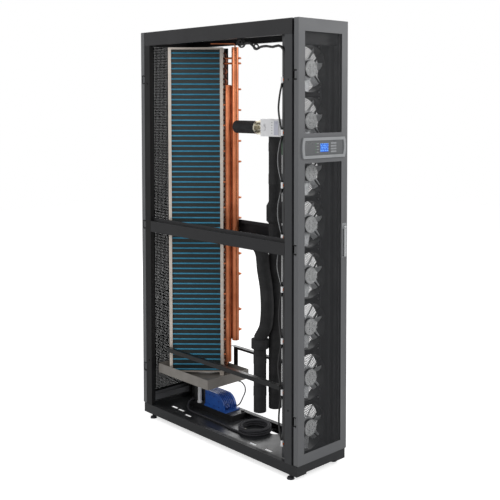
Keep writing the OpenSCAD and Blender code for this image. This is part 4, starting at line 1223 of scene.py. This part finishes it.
@dataclass
class Cables:
    """The discharge hose with its coil, the pump's lead and the wiring harness.

    Attributes:
        hose_mm: the hose's diameter.
        coil_centre: centre of its coil, in millimetres.
        coil_radii: radii of the coil's inner and outer turns.
        turns: turns of the coil, two in each layer.
        turn_steps: points of a turn.
        cross: where in a layer the hose crosses to the other turn, and over how much of a turn.
        climb: where in a layer it climbs to the next, and over how much of a turn.
        floor_top: height of the floor sheet's top.
        harness_r: the harness's radius.
        harness_x: how far to the side it hangs.
        harness_y: how far forward it hangs.
        harness_low: height of its lower end.
        harness_drop: how far it falls from the roof's corner.
    """

    hose_mm: float = 10.0
    coil_centre: tuple[float, float] = (41.7, -77.3)
    coil_radii: tuple[float, float] = (65.0, 75.0)
    turns: int = 6
    turn_steps: int = 24
    cross: tuple[float, float] = (0.86, 0.28)
    climb: tuple[float, float] = (1.86, 0.14)
    floor_top: float = 45.0
    harness_r: float = 5.5
    harness_x: float = -128.2
    harness_y: float = -450.0
    harness_low: float = 150.0
    harness_drop: float = 1590.0

    def build(self) -> None:
        """Make the three cords and what holds them."""
        self._hose()
        self._lead()
        self._harness()

    def _cord(
        self, name: str, path: list[Vector], radius_mm: float, finish: Finish,
        nodes: list[str],
    ) -> bpy.types.Object:
        """Make a cord as a curve along a path.

        Args:
            name: the piece's name.
            path: its points, in metres.
            radius_mm: its radius.
            finish: its finish.
            nodes: the CAD nodes that it stands for.

        Returns:
            The cord.
        """
        curve = bpy.data.curves.new(name, "CURVE")
        curve.dimensions = "3D"
        curve.bevel_depth = radius_mm * MM
        curve.bevel_resolution = 3
        curve.use_fill_caps = True
        line = curve.splines.new("POLY")
        line.points.add(len(path) - 1)
        for point, place in zip(line.points, path):
            point.co = (place.x, place.y, place.z, 1.0)
        line.use_smooth = True
        curve.materials.append(finish.build())
        cord = bpy.data.objects.new(name, curve)
        bpy.context.scene.collection.objects.link(cord)
        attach(cord, CABINET)
        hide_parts(*nodes)
        return cord

    def _coil_path(self) -> list[Vector]:
        """Points of the hose's turns, two beside each other in each layer.

        Returns:
            The points in metres, from the tail's end to the hose's free end.
        """
        out: list[Vector] = []
        inner, outer = self.coil_radii
        top_layer = self.turns // 2 - 1
        for i in range(self.turns * self.turn_steps + 1):
            turn = i / self.turn_steps
            layer = min(int(turn // 2), top_layer)
            within = turn - 2 * layer
            first, last = (outer, inner) if layer % 2 == 0 else (inner, outer)
            radius = first + (last - first) * eased((within - self.cross[0]) / self.cross[1])
            up = eased((within - self.climb[0]) / self.climb[1]) if layer < top_layer else 0.0
            down = eased((self.climb[1] - within) / self.climb[1]) if layer > 0 else 0.0
            height = self.floor_top + self.hose_mm * (0.5 + layer + (0.5 * up - 0.5 * down))
            angle = math.pi + 2 * math.pi * turn
            x = self.coil_centre[0] + radius * math.cos(angle)
            y = self.coil_centre[1] + radius * math.sin(angle)
            out.append(Vector((x, y, height)) * MM)
        return out

    def _hose(self) -> None:
        """Lay the discharge hose along the floor and into its coil."""
        path = smooth_route(HOSE_TAIL, 3) + self._coil_path()
        cord = self._cord(
            "discharge_hose_whole", path, self.hose_mm / 2, RUBBER,
            ["discharge_hose", "discharge_hose_coil"],
        )
        end = path[-1]
        way = (path[-1] - path[-2]).normalized()
        plug = Sculpt("hose_end_fitting", CABINET, NICKEL, "valve_brass")
        plug.tube([end - way * 0.006, end + way * 0.016], 4.2, 14)
        plug.tube([end + way * 0.003, end + way * 0.007], 4.9, 6)
        fitting = plug.done(0.3)
        log.info("hose %.3f m", route_length(path))

    def _lead(self) -> None:
        """Run the pump's lead up under the drain pan."""
        path = smooth_route(LEAD_ROUTE, 3)
        cord = self._cord("pump_lead_whole", path, 3.0, RUBBER, ["pump_lead"])
        log.info("pump lead %.3f m", route_length(path))

    def _harness(self) -> None:
        """Run the fans' wiring harness down beside them, with its ties."""
        last = len(SWAY) - 1
        drop = [
            (
                self.harness_x, self.harness_y + s,
                self.harness_low + self.harness_drop * (1 - k / last),
            )
            for k, s in enumerate(SWAY)
        ]
        path = smooth_route(HARNESS_TOP + drop, 2)
        cord = self._cord(
            "wiring_harness_whole", path, self.harness_r, SLEEVE,
            ["wiring_harness"],
        )
        log.info("harness %.3f m", route_length(path))

        ties = Sculpt("harness_ties", CABINET, BLACK_PLASTIC, "black_plastic")
        for x, y, z in drop[1:last:2]:
            ties.ring((x, y, z), "z", 5.4, 6.9, 4.0, 16)
            ties.block((-129.7, y + 6, z - 2.5), (-126.4, y + 9.5, z + 2.5))
        ties.done(0.3)


# ------------------------------------------------------------------ sub-assemblies


class Wear(Enum):
    """How a finish is put on: on the CAD solid itself, or on a copy with soft edges."""

    PAINTED = "painted"
    EDGED = "edged"


@dataclass(frozen=True)
class Coat:
    """What one CAD node is finished with.

    Attributes:
        node: the node's name.
        finish: its finish.
        wear: whether it gets soft edges.
        slot: not used.
        body: the body that a copy rides on.
        bevel_mm: width of the copy's bevel.
    """

    node: str
    finish: Finish
    wear: Wear = Wear.PAINTED
    slot: str = "frame_paint"
    body: str = CABINET
    bevel_mm: float = 0.8

    def put_on(self) -> None:
        """Finish the node, or the copy that stands for it."""
        if self.wear is Wear.EDGED:
            merged_copy(
                self.node + "_edged", [self.node], self.body, self.finish,
                self.bevel_mm,
            )
            return
        paint(self.node, self.finish.build())


COATS = [
    Coat("base_frame", PLINTH_COAT, Wear.EDGED, "base_paint", CABINET, 1.0),
    Coat("floor_pan", FLOOR_COAT),
    Coat("leveling_feet", RUBBER),
    # Front posts lighter and rear posts darker than the frame: painted light and painted shade.
    Coat("posts_front", LIT_POST_COAT, Wear.EDGED, "frame_paint", CABINET, 0.7),
    Coat("posts_rear", SHADED_FRAME_COAT, Wear.EDGED, "frame_paint", CABINET, 0.7),
    Coat("top_frame", FRAME_COAT, Wear.EDGED, "frame_paint", CABINET, 0.7),
    Coat("top_panel", FRAME_COAT),
    Coat("side_brace_left", FRAME_COAT, Wear.EDGED, "frame_paint", CABINET, 0.7),
    Coat("side_brace_right", FRAME_COAT, Wear.EDGED, "frame_paint", CABINET, 0.7),
    Coat("coil_rail_left", RAIL_COAT),
    Coat("coil_rail_right", RAIL_COAT),
    Coat("fan_bulkhead", BULKHEAD_COAT),
    Coat("fan_housings", FAN_BLACK),
    Coat("coil_casing", MILL_SHEET),
    Coat("return_bends", COPPER_DARK),
    Coat("supply_header", COPPER),
    Coat("return_header", COPPER),
    Coat("drain_pan", DULL_SHEET, Wear.EDGED, "pan_metal", CABINET, 0.6),
    Coat("drain_tube", WHITE_PLASTIC),
    Coat("valve_body", NICKEL),
    Coat("valve_stem", WHITE_PLASTIC),
    Coat("actuator_housing", WHITE_PLASTIC, Wear.EDGED, "white_plastic", CABINET, 1.2),
    Coat("actuator_button", LILAC_PLASTIC),
    Coat("supply_insulation", FOAM),
    Coat("return_insulation", FOAM),
    Coat("pump_tray", BLACK_PLASTIC, Wear.EDGED, "black_plastic", CABINET, 1.5),
    Coat("pump_housing", BLUE_PLASTIC, Wear.EDGED, "blue_plastic", CABINET, 1.0),
    Coat("condensate_tank", BLACK_PLASTIC, Wear.EDGED, "black_plastic", CABINET, 1.5),
    Coat("harness_connectors", WHITE_PLASTIC, Wear.EDGED, "white_plastic", CABINET, 0.6),
    Coat("control_board", BOARD_GREEN),
    # The hinge brackets take the darker coat of painted shade.
    Coat("hinge_brackets", SHADED_FRAME_COAT),
    Coat("front_door_frame", DOOR_COAT, Wear.EDGED, "door_paint", FRONT_DOOR, 1.0),
    Coat("front_door_gasket", GASKET_FOAM),
    Coat("display_bezel", GREY_PLASTIC, Wear.EDGED, "grey_plastic", FRONT_DOOR, 1.2),
    Coat("display_panel", PANEL_FILM, Wear.EDGED, "panel_plastic", FRONT_DOOR, 0.3),
    Coat("handle_dish", GREY_PLASTIC, Wear.EDGED, "grey_plastic", FRONT_DOOR, 0.6),
    Coat("rear_door_frame", DOOR_COAT, Wear.EDGED, "door_paint", REAR_DOOR, 1.0),
]


@dataclass
class Doors:
    """The perforated sheets of both doors, the display and the handle.

    Attributes:
        half_width: half the width of a window's sheet, in millimetres.
        front_sheets: lowest and highest z of the front door's sheets.
        rear_sheets: the same for the rear door.
        front_pattern: the front sheets' holes, fine and open.
        rear_pattern: the rear sheets' holes, small in a thick sheet.
        display_z: height of the display's middle.
        lamp_pitch: distance between the display's lamps.
    """

    half_width: float = 120.0
    front_sheets: tuple[tuple[float, float], ...] = ((112.0, 1357.0), (1471.0, 1906.0))
    rear_sheets: tuple[tuple[float, float], ...] = ((112.0, 1906.0),)
    front_pattern: Perforation = Perforation(pitch_mm=5.0, open_share=0.82, thickness_mm=0.5)
    rear_pattern: Perforation = Perforation(pitch_mm=8.0, open_share=0.31, thickness_mm=2.4)
    display_z: float = 1414.0
    lamp_pitch: float = 12.0

    def build(self) -> None:
        """Make the doors' pieces."""
        self._sheets(
            "front_door_screen", "front_door_mesh", FRONT_DOOR, self.front_sheets,
            self.front_pattern, SCREEN_COAT,
        )
        self._sheets(
            "rear_door_screen", "rear_door_mesh", REAR_DOOR, self.rear_sheets, self.rear_pattern,
            REAR_SCREEN,
        )
        self._display()
        self._handle()

    def _sheets(
        self,
        name: str,
        node: str,
        body: str,
        spans: tuple[tuple[float, float], ...],
        pattern: Perforation,
        coat: Finish,
    ) -> None:
        """Make one door's perforated sheets.

        Args:
            name: the piece's name.
            node: the CAD node that they stand for.
            body: the door.
            spans: lowest and highest z of each sheet.
            pattern: the holes' pattern.
            coat: the sheets' finish.
        """
        low, high = box_of(node)
        middle = (low.y + high.y) / 2
        tree = bpy.data.node_groups.get("perforated_sheet") or pattern.tree()
        finish = coat.build()
        for i, (z0, z1) in enumerate(spans):
            place = Matrix.Translation(((low.x + high.x) / 2, middle, (z0 + z1) / 2 * MM))
            values = {
                "Width": min(2 * self.half_width * MM, high.x - low.x),
                "Height": (z1 - z0) * MM,
                "Pitch": pattern.pitch_mm * MM,
                "Bar": pattern.pitch_mm * (1 - pattern.open_share) * MM,
                "Thick": pattern.thickness_mm * MM,
                "Finish": finish,
            }
            part = run_tree(f"{name}_{i + 1}", tree, values, body, place=place)
            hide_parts(node)

    def _display(self) -> None:
        """Dress the display: lit screen, keys and small lamps."""
        paint("display_screen", LitScreen().build(*box_of("display_screen")))
        for k in range(1, 5):
            merged_copy(
                f"key_{k}_edged", [f"key_{k}"], f"key_body_{k}", KEY_PLASTIC, 0.8,
            )
        lamps = Sculpt("display_lamps", FRONT_DOOR, BOARD_GREEN, "board_green")
        marks = Sculpt("display_lamp_strips", FRONT_DOOR, KEY_PLASTIC, "key_plastic")
        for k in range(4):
            z = self.display_z + (1.5 - k) * self.lamp_pitch
            lamps.rod((-52, -558.6, z), (-52, -559.7, z), 2.0, 14, 1.7)
            marks.block((-47, -559.4, z - 1.6), (-34, -558.8, z + 1.6))
        lamps.done()
        marks.done(0.2)

    def _handle(self) -> None:
        """Dress the swing lever and its spindle."""
        merged_copy("swing_lever_edged", ["swing_lever"], "lever", SATIN_LEVER, 1.4)
        merged_copy("lock_spindle_edged", ["lock_spindle"], "spindle", ZINC, 0.5)
        merged_copy("rear_latch_edged", ["rear_latch"], "latch", SATIN_LEVER, 1.0)


@dataclass
class Fans:
    """The eight fans: rotors, motor caps with screws, mounting screws and wire guards.

    Attributes:
        count: number of fans.
        first_z: height of the lowest fan, in millimetres.
        pitch: distance between fans.
        motor_face_y: where the motors' faces are.
        plate_half: half the width of a fan's plate.
        plate_screw_y: where its screws' heads are.
        plate_screw_in: how far they are from its edge.
        cap_screw_r: radius of the circle of a motor cap's screws.
        slot_from: where a slot of a motor cap begins, from its centre.
        slot_to: where it ends.
        guard_rings: rings of a guard.
        guard_first: radius of the smallest.
        guard_step: distance between them.
        guard_reach: how far its spokes reach.
        guard_y: where the guards are.
    """

    count: int = 8
    first_z: float = 182.0
    pitch: float = 224.0
    motor_face_y: float = -482.0
    plate_half: float = 109.0
    plate_screw_y: float = -433.0
    plate_screw_in: float = 9.0
    cap_screw_r: float = 21.0
    slot_from: float = 12.5
    slot_to: float = 17.0
    guard_rings: int = 12
    guard_first: float = 24.0
    guard_step: float = 7.0
    guard_reach: float = 106.0
    guard_y: float = -426.0

    def build(self) -> None:
        """Dress the rotors and add the motors' caps and screws."""
        for i in range(self.count):
            paint(f"fan_rotor_{i + 1}", FAN_METAL.build())
        caps = Sculpt("motor_caps", CABINET, MOTOR_CAP, "fan_metal")
        # Each slot is a black rod on the cap's face: painted shade in the opening.
        dark = Sculpt("motor_cap_slots_painted_shade", CABINET, FAN_BLACK, "fan_metal")
        heads: list[tuple[Point, Point]] = []
        plates: list[tuple[Point, Point]] = []
        for i in range(self.count):
            z = self.first_z + i * self.pitch
            caps.rod((0, self.motor_face_y + 1, z), (0, self.motor_face_y - 1.2, z), 37.0, 40, 36.2)
            caps.ring((0, self.motor_face_y - 1.8, z), "y", 30.0, 35.0, 2.0)
            caps.ring((0, self.motor_face_y - 1.8, z), "y", 7.0, 11.0, 2.0, 24)
            for k in range(4):
                angle = math.radians(45 + 90 * k)
                ends = [
                    (reach * math.cos(angle), self.motor_face_y - 1.2, z + reach * math.sin(angle))
                    for reach in (self.slot_from, self.slot_to)
                ]
                dark.rod(*ends, 0.9, 8)
            for k in range(6):
                angle = math.radians(60 * k)
                x, up = self.cap_screw_r * math.cos(angle), self.cap_screw_r * math.sin(angle)
                heads.append(((x, self.motor_face_y - 1.7, z + up), (0, -1, 0)))
            reach = self.plate_half - self.plate_screw_in
            for x in (-1, 1):
                for up in (-1, 1):
                    at = (x * reach, self.plate_screw_y, z + up * reach)
                    plates.append((at, (0, -1, 0)))
        caps.done()
        dark.done()
        self._guards()
        header = Sculpt("fan_chamber_header", CABINET, DOOR_COAT, "frame_paint")
        header.block((-121, -476.2, 1856), (121, -474.4, 1887))
        header.done(0.5)
        ScrewField().lay("motor_screws", heads, 2.4, 1.4, CABINET, ZINC)
        ScrewField().lay("fan_plate_screws", plates, 4.2, 2.2, CABINET, ZINC)

    def _guards(self) -> None:
        """Put a wire guard of rings and spokes over the air inlet of each fan."""
        guards = Sculpt("fan_inlet_guards", CABINET, FAN_BLACK, "fan_metal")
        for i in range(self.count):
            z = self.first_z + i * self.pitch
            for k in range(self.guard_rings):
                radius = self.guard_first + k * self.guard_step
                path = [
                    Vector((radius * math.cos(a), self.guard_y, z + radius * math.sin(a))) * MM
                    for a in [2 * math.pi * j / 32 for j in range(33)]
                ]
                guards.tube(path, 1.3, 5)
            for k in range(4):
                angle = math.radians(90 * k)
                ends = [
                    (reach * math.cos(angle), self.guard_y + 1, z + reach * math.sin(angle))
                    for reach in (self.guard_first, self.guard_reach)
                ]
                guards.rod(*ends, 1.6, 6)
        guards.done()


@dataclass
class Coil:
    """The slanted coil: fin pack, inner return bends and rivets on its casing.

    Attributes:
        rows: number of tube rows.
        first_z: height of the lowest row, in millimetres.
        pitch: distance between rows.
        corner: the casing's near corner, seen from above.
        turn: how far it is turned from the x axis, in degrees.
        bend_at: how far along the coil the inner return bends stand.
        bend_depths: how deep behind its face the two rows of them stand.
        rivet_first: height of the lowest rivets.
        rivet_pitch: distance between rivets.
        rivet_sides: how far along the coil the two rows of them are.
    """

    rows: int = 63
    first_z: float = 274.0
    pitch: float = 25.4
    corner: tuple[float, float] = (-120.0, 375.0)
    turn: float = -45.0
    bend_at: float = 270.2
    bend_depths: tuple[float, float] = (22.0, 32.0)
    rivet_first: float = 285.0
    rivet_pitch: float = 68.0
    rivet_sides: tuple[float, float] = (7.0, 263.0)

    def build(self) -> None:
        """Dress the coil."""
        paint("coil_core", FinPack().build())
        _, high = box_of("coil_casing")
        heads: list[tuple[Point, Point]] = []
        turn = math.radians(self.turn)
        for i in range(24):
            z = self.rivet_first + i * self.rivet_pitch
            if z > high.z * 1000 - 20:
                break
            for along in self.rivet_sides:
                x = self.corner[0] + along * math.cos(turn)
                y = self.corner[1] + along * math.sin(turn)
                heads.append(((x - 0.3, y - 0.3, z), (-0.7071, -0.7071, 0)))
        ScrewField().lay("casing_rivets", heads, 2.4, 1.2, CABINET, ZINC)
        # The inner bends' dark copper is painted shade.
        bends = Sculpt("inner_return_bends", CABINET, BEND_SHADE, "copper")
        turned = Matrix.Translation((-0.120, 0.375, 0)) @ Matrix.Rotation(turn, 4, "Z")
        for first, depth in enumerate(self.bend_depths):
            for row in range(first, self.rows - 1, 2):
                middle = self.first_z + self.pitch * (row + 0.5)
                path = []
                for k in range(9):
                    angle = math.radians(-90 + 22.5 * k)
                    along = self.bend_at + self.pitch / 2 * math.cos(angle)
                    up = middle + self.pitch / 2 * math.sin(angle)
                    path.append(turned @ (Vector((along, depth, up)) * MM))
                bends.tube(path, 4.4, 7)
        bends.done()
        # The flange takes the fin pack's near-black shadow colour: painted shade.
        flange = Sculpt("tube_sheet_flange", CABINET, FIN_BACK, "casing")
        flange.block((270.2, 75.0, 262.0), (291.0, 77.0, 1875.0), turned)
        flange.done(0.4)
        strip = Sculpt("header_spacer_strip", CABINET, COPPER_DARK, "copper")
        strip.block((307.0, 4.0, 430.0), (316.0, 8.0, 1690.0), turned)
        strip.done(0.5)


@dataclass
class Pipework:
    """Tape wraps on the insulated pipes, and the actuator's cover.

    Attributes:
        supply: where the supply pipe stands, in millimetres.
        back: where the return pipe stands.
    """

    supply: tuple[float, float] = (100.0, -156.0)
    back: tuple[float, float] = (36.0, -119.0)

    def build(self) -> None:
        """Add the wraps and the actuator's details."""
        wraps = Sculpt("insulation_wraps", CABINET, TAPE, "insulation")
        for z, wide in ((262, 46), (520, 40), (742, 44), (930, 40), (1250, 48), (1398, 40)):
            wraps.ring((*self.supply, z), "z", 30.6, 32.2, wide, 48)
        wraps.ring((*self.back, 250), "z", 29.6, 31.2, 44, 48)
        wraps.ring((*self.back, 402), "z", 29.6, 31.2, 40, 48)
        wraps.done()
        cover = Sculpt("actuator_half", CABINET, LILAC_PLASTIC, "white_plastic")
        x = box_of("actuator_housing")[0].x * 1000
        cover.block((x - 0.9, -254, 1458), (x + 0.2, -226, 1522))
        cover.done(0.4)
        # Each vent is a black disc on the cover: painted shade in the hole.
        holes = Sculpt("actuator_vents_painted_shade", CABINET, BLACK_PLASTIC, "black_plastic")
        for k in range(5):
            holes.rod((x - 0.4, -212, 1466 + 12 * k), (x + 0.8, -212, 1466 + 12 * k), 2.0, 12)
        holes.done()


@dataclass
class Condensate:
    """The pump's bolts, its dome connector and the tray's plug."""

    def build(self) -> None:
        """Add the pump's small parts."""
        x = box_of("pump_housing")[0].x * 1000 - 0.2
        bolts: list[tuple[Point, Point]] = []
        for y in (180, 215, 250, 280):
            for z in (92, 140 if y > 190 else 122):
                bolts.append(((x, y, z), (-1, 0, 0)))
        ScrewField().lay("pump_bolts", bolts, 3.2, 2.0, CABINET, DEEP_BLUE)
        dome = Sculpt("pump_connector_cap", CABINET, DEEP_BLUE, "blue_plastic")
        dome.rod((50, 140, 108), (50, 124, 100), 11, 20, 9)
        dome.ring((50, 133, 104), "y", 9, 12.5, 3, 24)
        dome.done(0.8)
        spot = Sculpt("tray_plug", CABINET, WHITE_PLASTIC, "white_plastic")
        spot.rod((114, 90, 74.5), (114, 90, 77.5), 5, 20, 4)
        spot.done(0.4)


# Routes in millimetres. A lead's and the sensor wire's points give the place from the side and
# from the front, how much of the lead's bulge is added there, and the height over its start.
EARTH_ROUTE = (
    (-112, -478, 1868), (-108, -484, 1850), (-98, -486, 1836), (-84, -484, 1842),
    (-74, -478, 1860), (-70, -474.4, 1876),
)
FAN_LEAD = (
    (-126.5, -431, 0, 10), (-126.0, -424, 0, 26), (-125.0, -420, 0.6, 70), (-124.5, -421, 1, 110),
    (-125.0, -421, 0.4, 160), (-126.0, -425, 0, 190), (-126.5, -431, 0, 210),
)
SENSOR_WIRE = (
    (-127.0, -430, 0, 12), (-130.0, -421, 0, 40), (-130.5, -414, 0.5, 90),
    (-130.0, -416, 0.5, 140), (-129.0, -424, 0, 190), (-127.0, -430, 0, 208),
)


@dataclass
class Wires:
    """Earth wires over the top fan, the fans' leads and plugs, the sensor wire and small loops.

    Attributes:
        plugs: number of fan plugs.
        first_z: height of the lowest plug, in millimetres.
        pitch: distance between plugs.
        bulges: how far each lead hangs out.
        sensed: the leads that the sensor wire runs along.
        loops: centre and radius of each loop of spare cable.
    """

    plugs: int = 8
    first_z: float = 133.0
    pitch: float = 224.0
    bulges: tuple[float, ...] = (10.0, 14.0, 8.0, 16.0, 11.0, 9.0, 13.0)
    sensed: tuple[int, ...] = (3, 4, 5)
    loops: tuple[tuple[float, float, float, float], ...] = (
        (-112.0, -160.0, 1868.0, 22.0), (-115.0, -150.0, 1872.0, 17.0),
        (-120.0, -262.0, 1848.0, 15.0),
    )

    def build(self) -> None:
        """Add the small wires where they are clipped to the bulkhead."""
        earth = Sculpt("earth_wires", CABINET, GREEN_YELLOW, "white_plastic")
        for shift in (0.0, 6.0):
            earth.tube(smooth_route([(x + shift, y, z) for x, y, z in EARTH_ROUTE], 5), 1.8, 8)
        earth.done()
        leads = Sculpt("fan_leads", CABINET, SLEEVE, "black_rubber")
        pale = Sculpt("sensor_wire", CABINET, GREY_SHEATH, "grey_plastic")
        for i, bulge in enumerate(self.bulges):
            leads.tube(self._hung(FAN_LEAD, i, bulge), 4.2, 9)
            if i in self.sensed:
                pale.tube(self._hung(SENSOR_WIRE, i, bulge), 1.6, 7)
        leads.done()
        pale.done()
        loops = Sculpt("service_loops", CABINET, SLEEVE, "black_rubber")
        angles = [2 * math.pi * k / 28 for k in range(29)]
        for x, y, z, radius in self.loops:
            circle = [
                Vector((x, y + radius * math.cos(a), z + radius * 0.75 * math.sin(a))) * MM
                for a in angles
            ]
            loops.tube(circle, 3.6, 8)
        loops.done()
        plugs = Sculpt("fan_plugs", CABINET, ORANGE_PLUG, "white_plastic")
        for i in range(self.plugs):
            z = self.first_z + self.pitch * i
            plugs.block((-129.5, -442.5, z - 5), (-123.5, -439.8, z + 5))
        plugs.done(0.5)

    def _hung(
        self, route: tuple[tuple[float, float, float, float], ...], place: int, bulge: float,
    ) -> list[Vector]:
        """Hang a wire between two plugs.

        Args:
            route: its points, with the share of the bulge at each.
            place: which plug it starts from, counted from the lowest.
            bulge: how far it hangs out, in millimetres.

        Returns:
            The smooth path in metres.
        """
        z = self.first_z + self.pitch * place
        return smooth_route([(x, y + bulge * part, z + up) for x, y, part, up in route], 4)


def main() -> None:
    """Build the studio, the cables and every sub-assembly in order."""
    Studio().build()
    Cables().build()
    for coat in COATS:
        coat.put_on()
    for assembly in (Doors(), Fans(), Coil(), Pipework(), Condensate(), Wires()):
        assembly.build()
        log.info("%s is done", type(assembly).__name__)


if __name__ == "__main__":
    main()
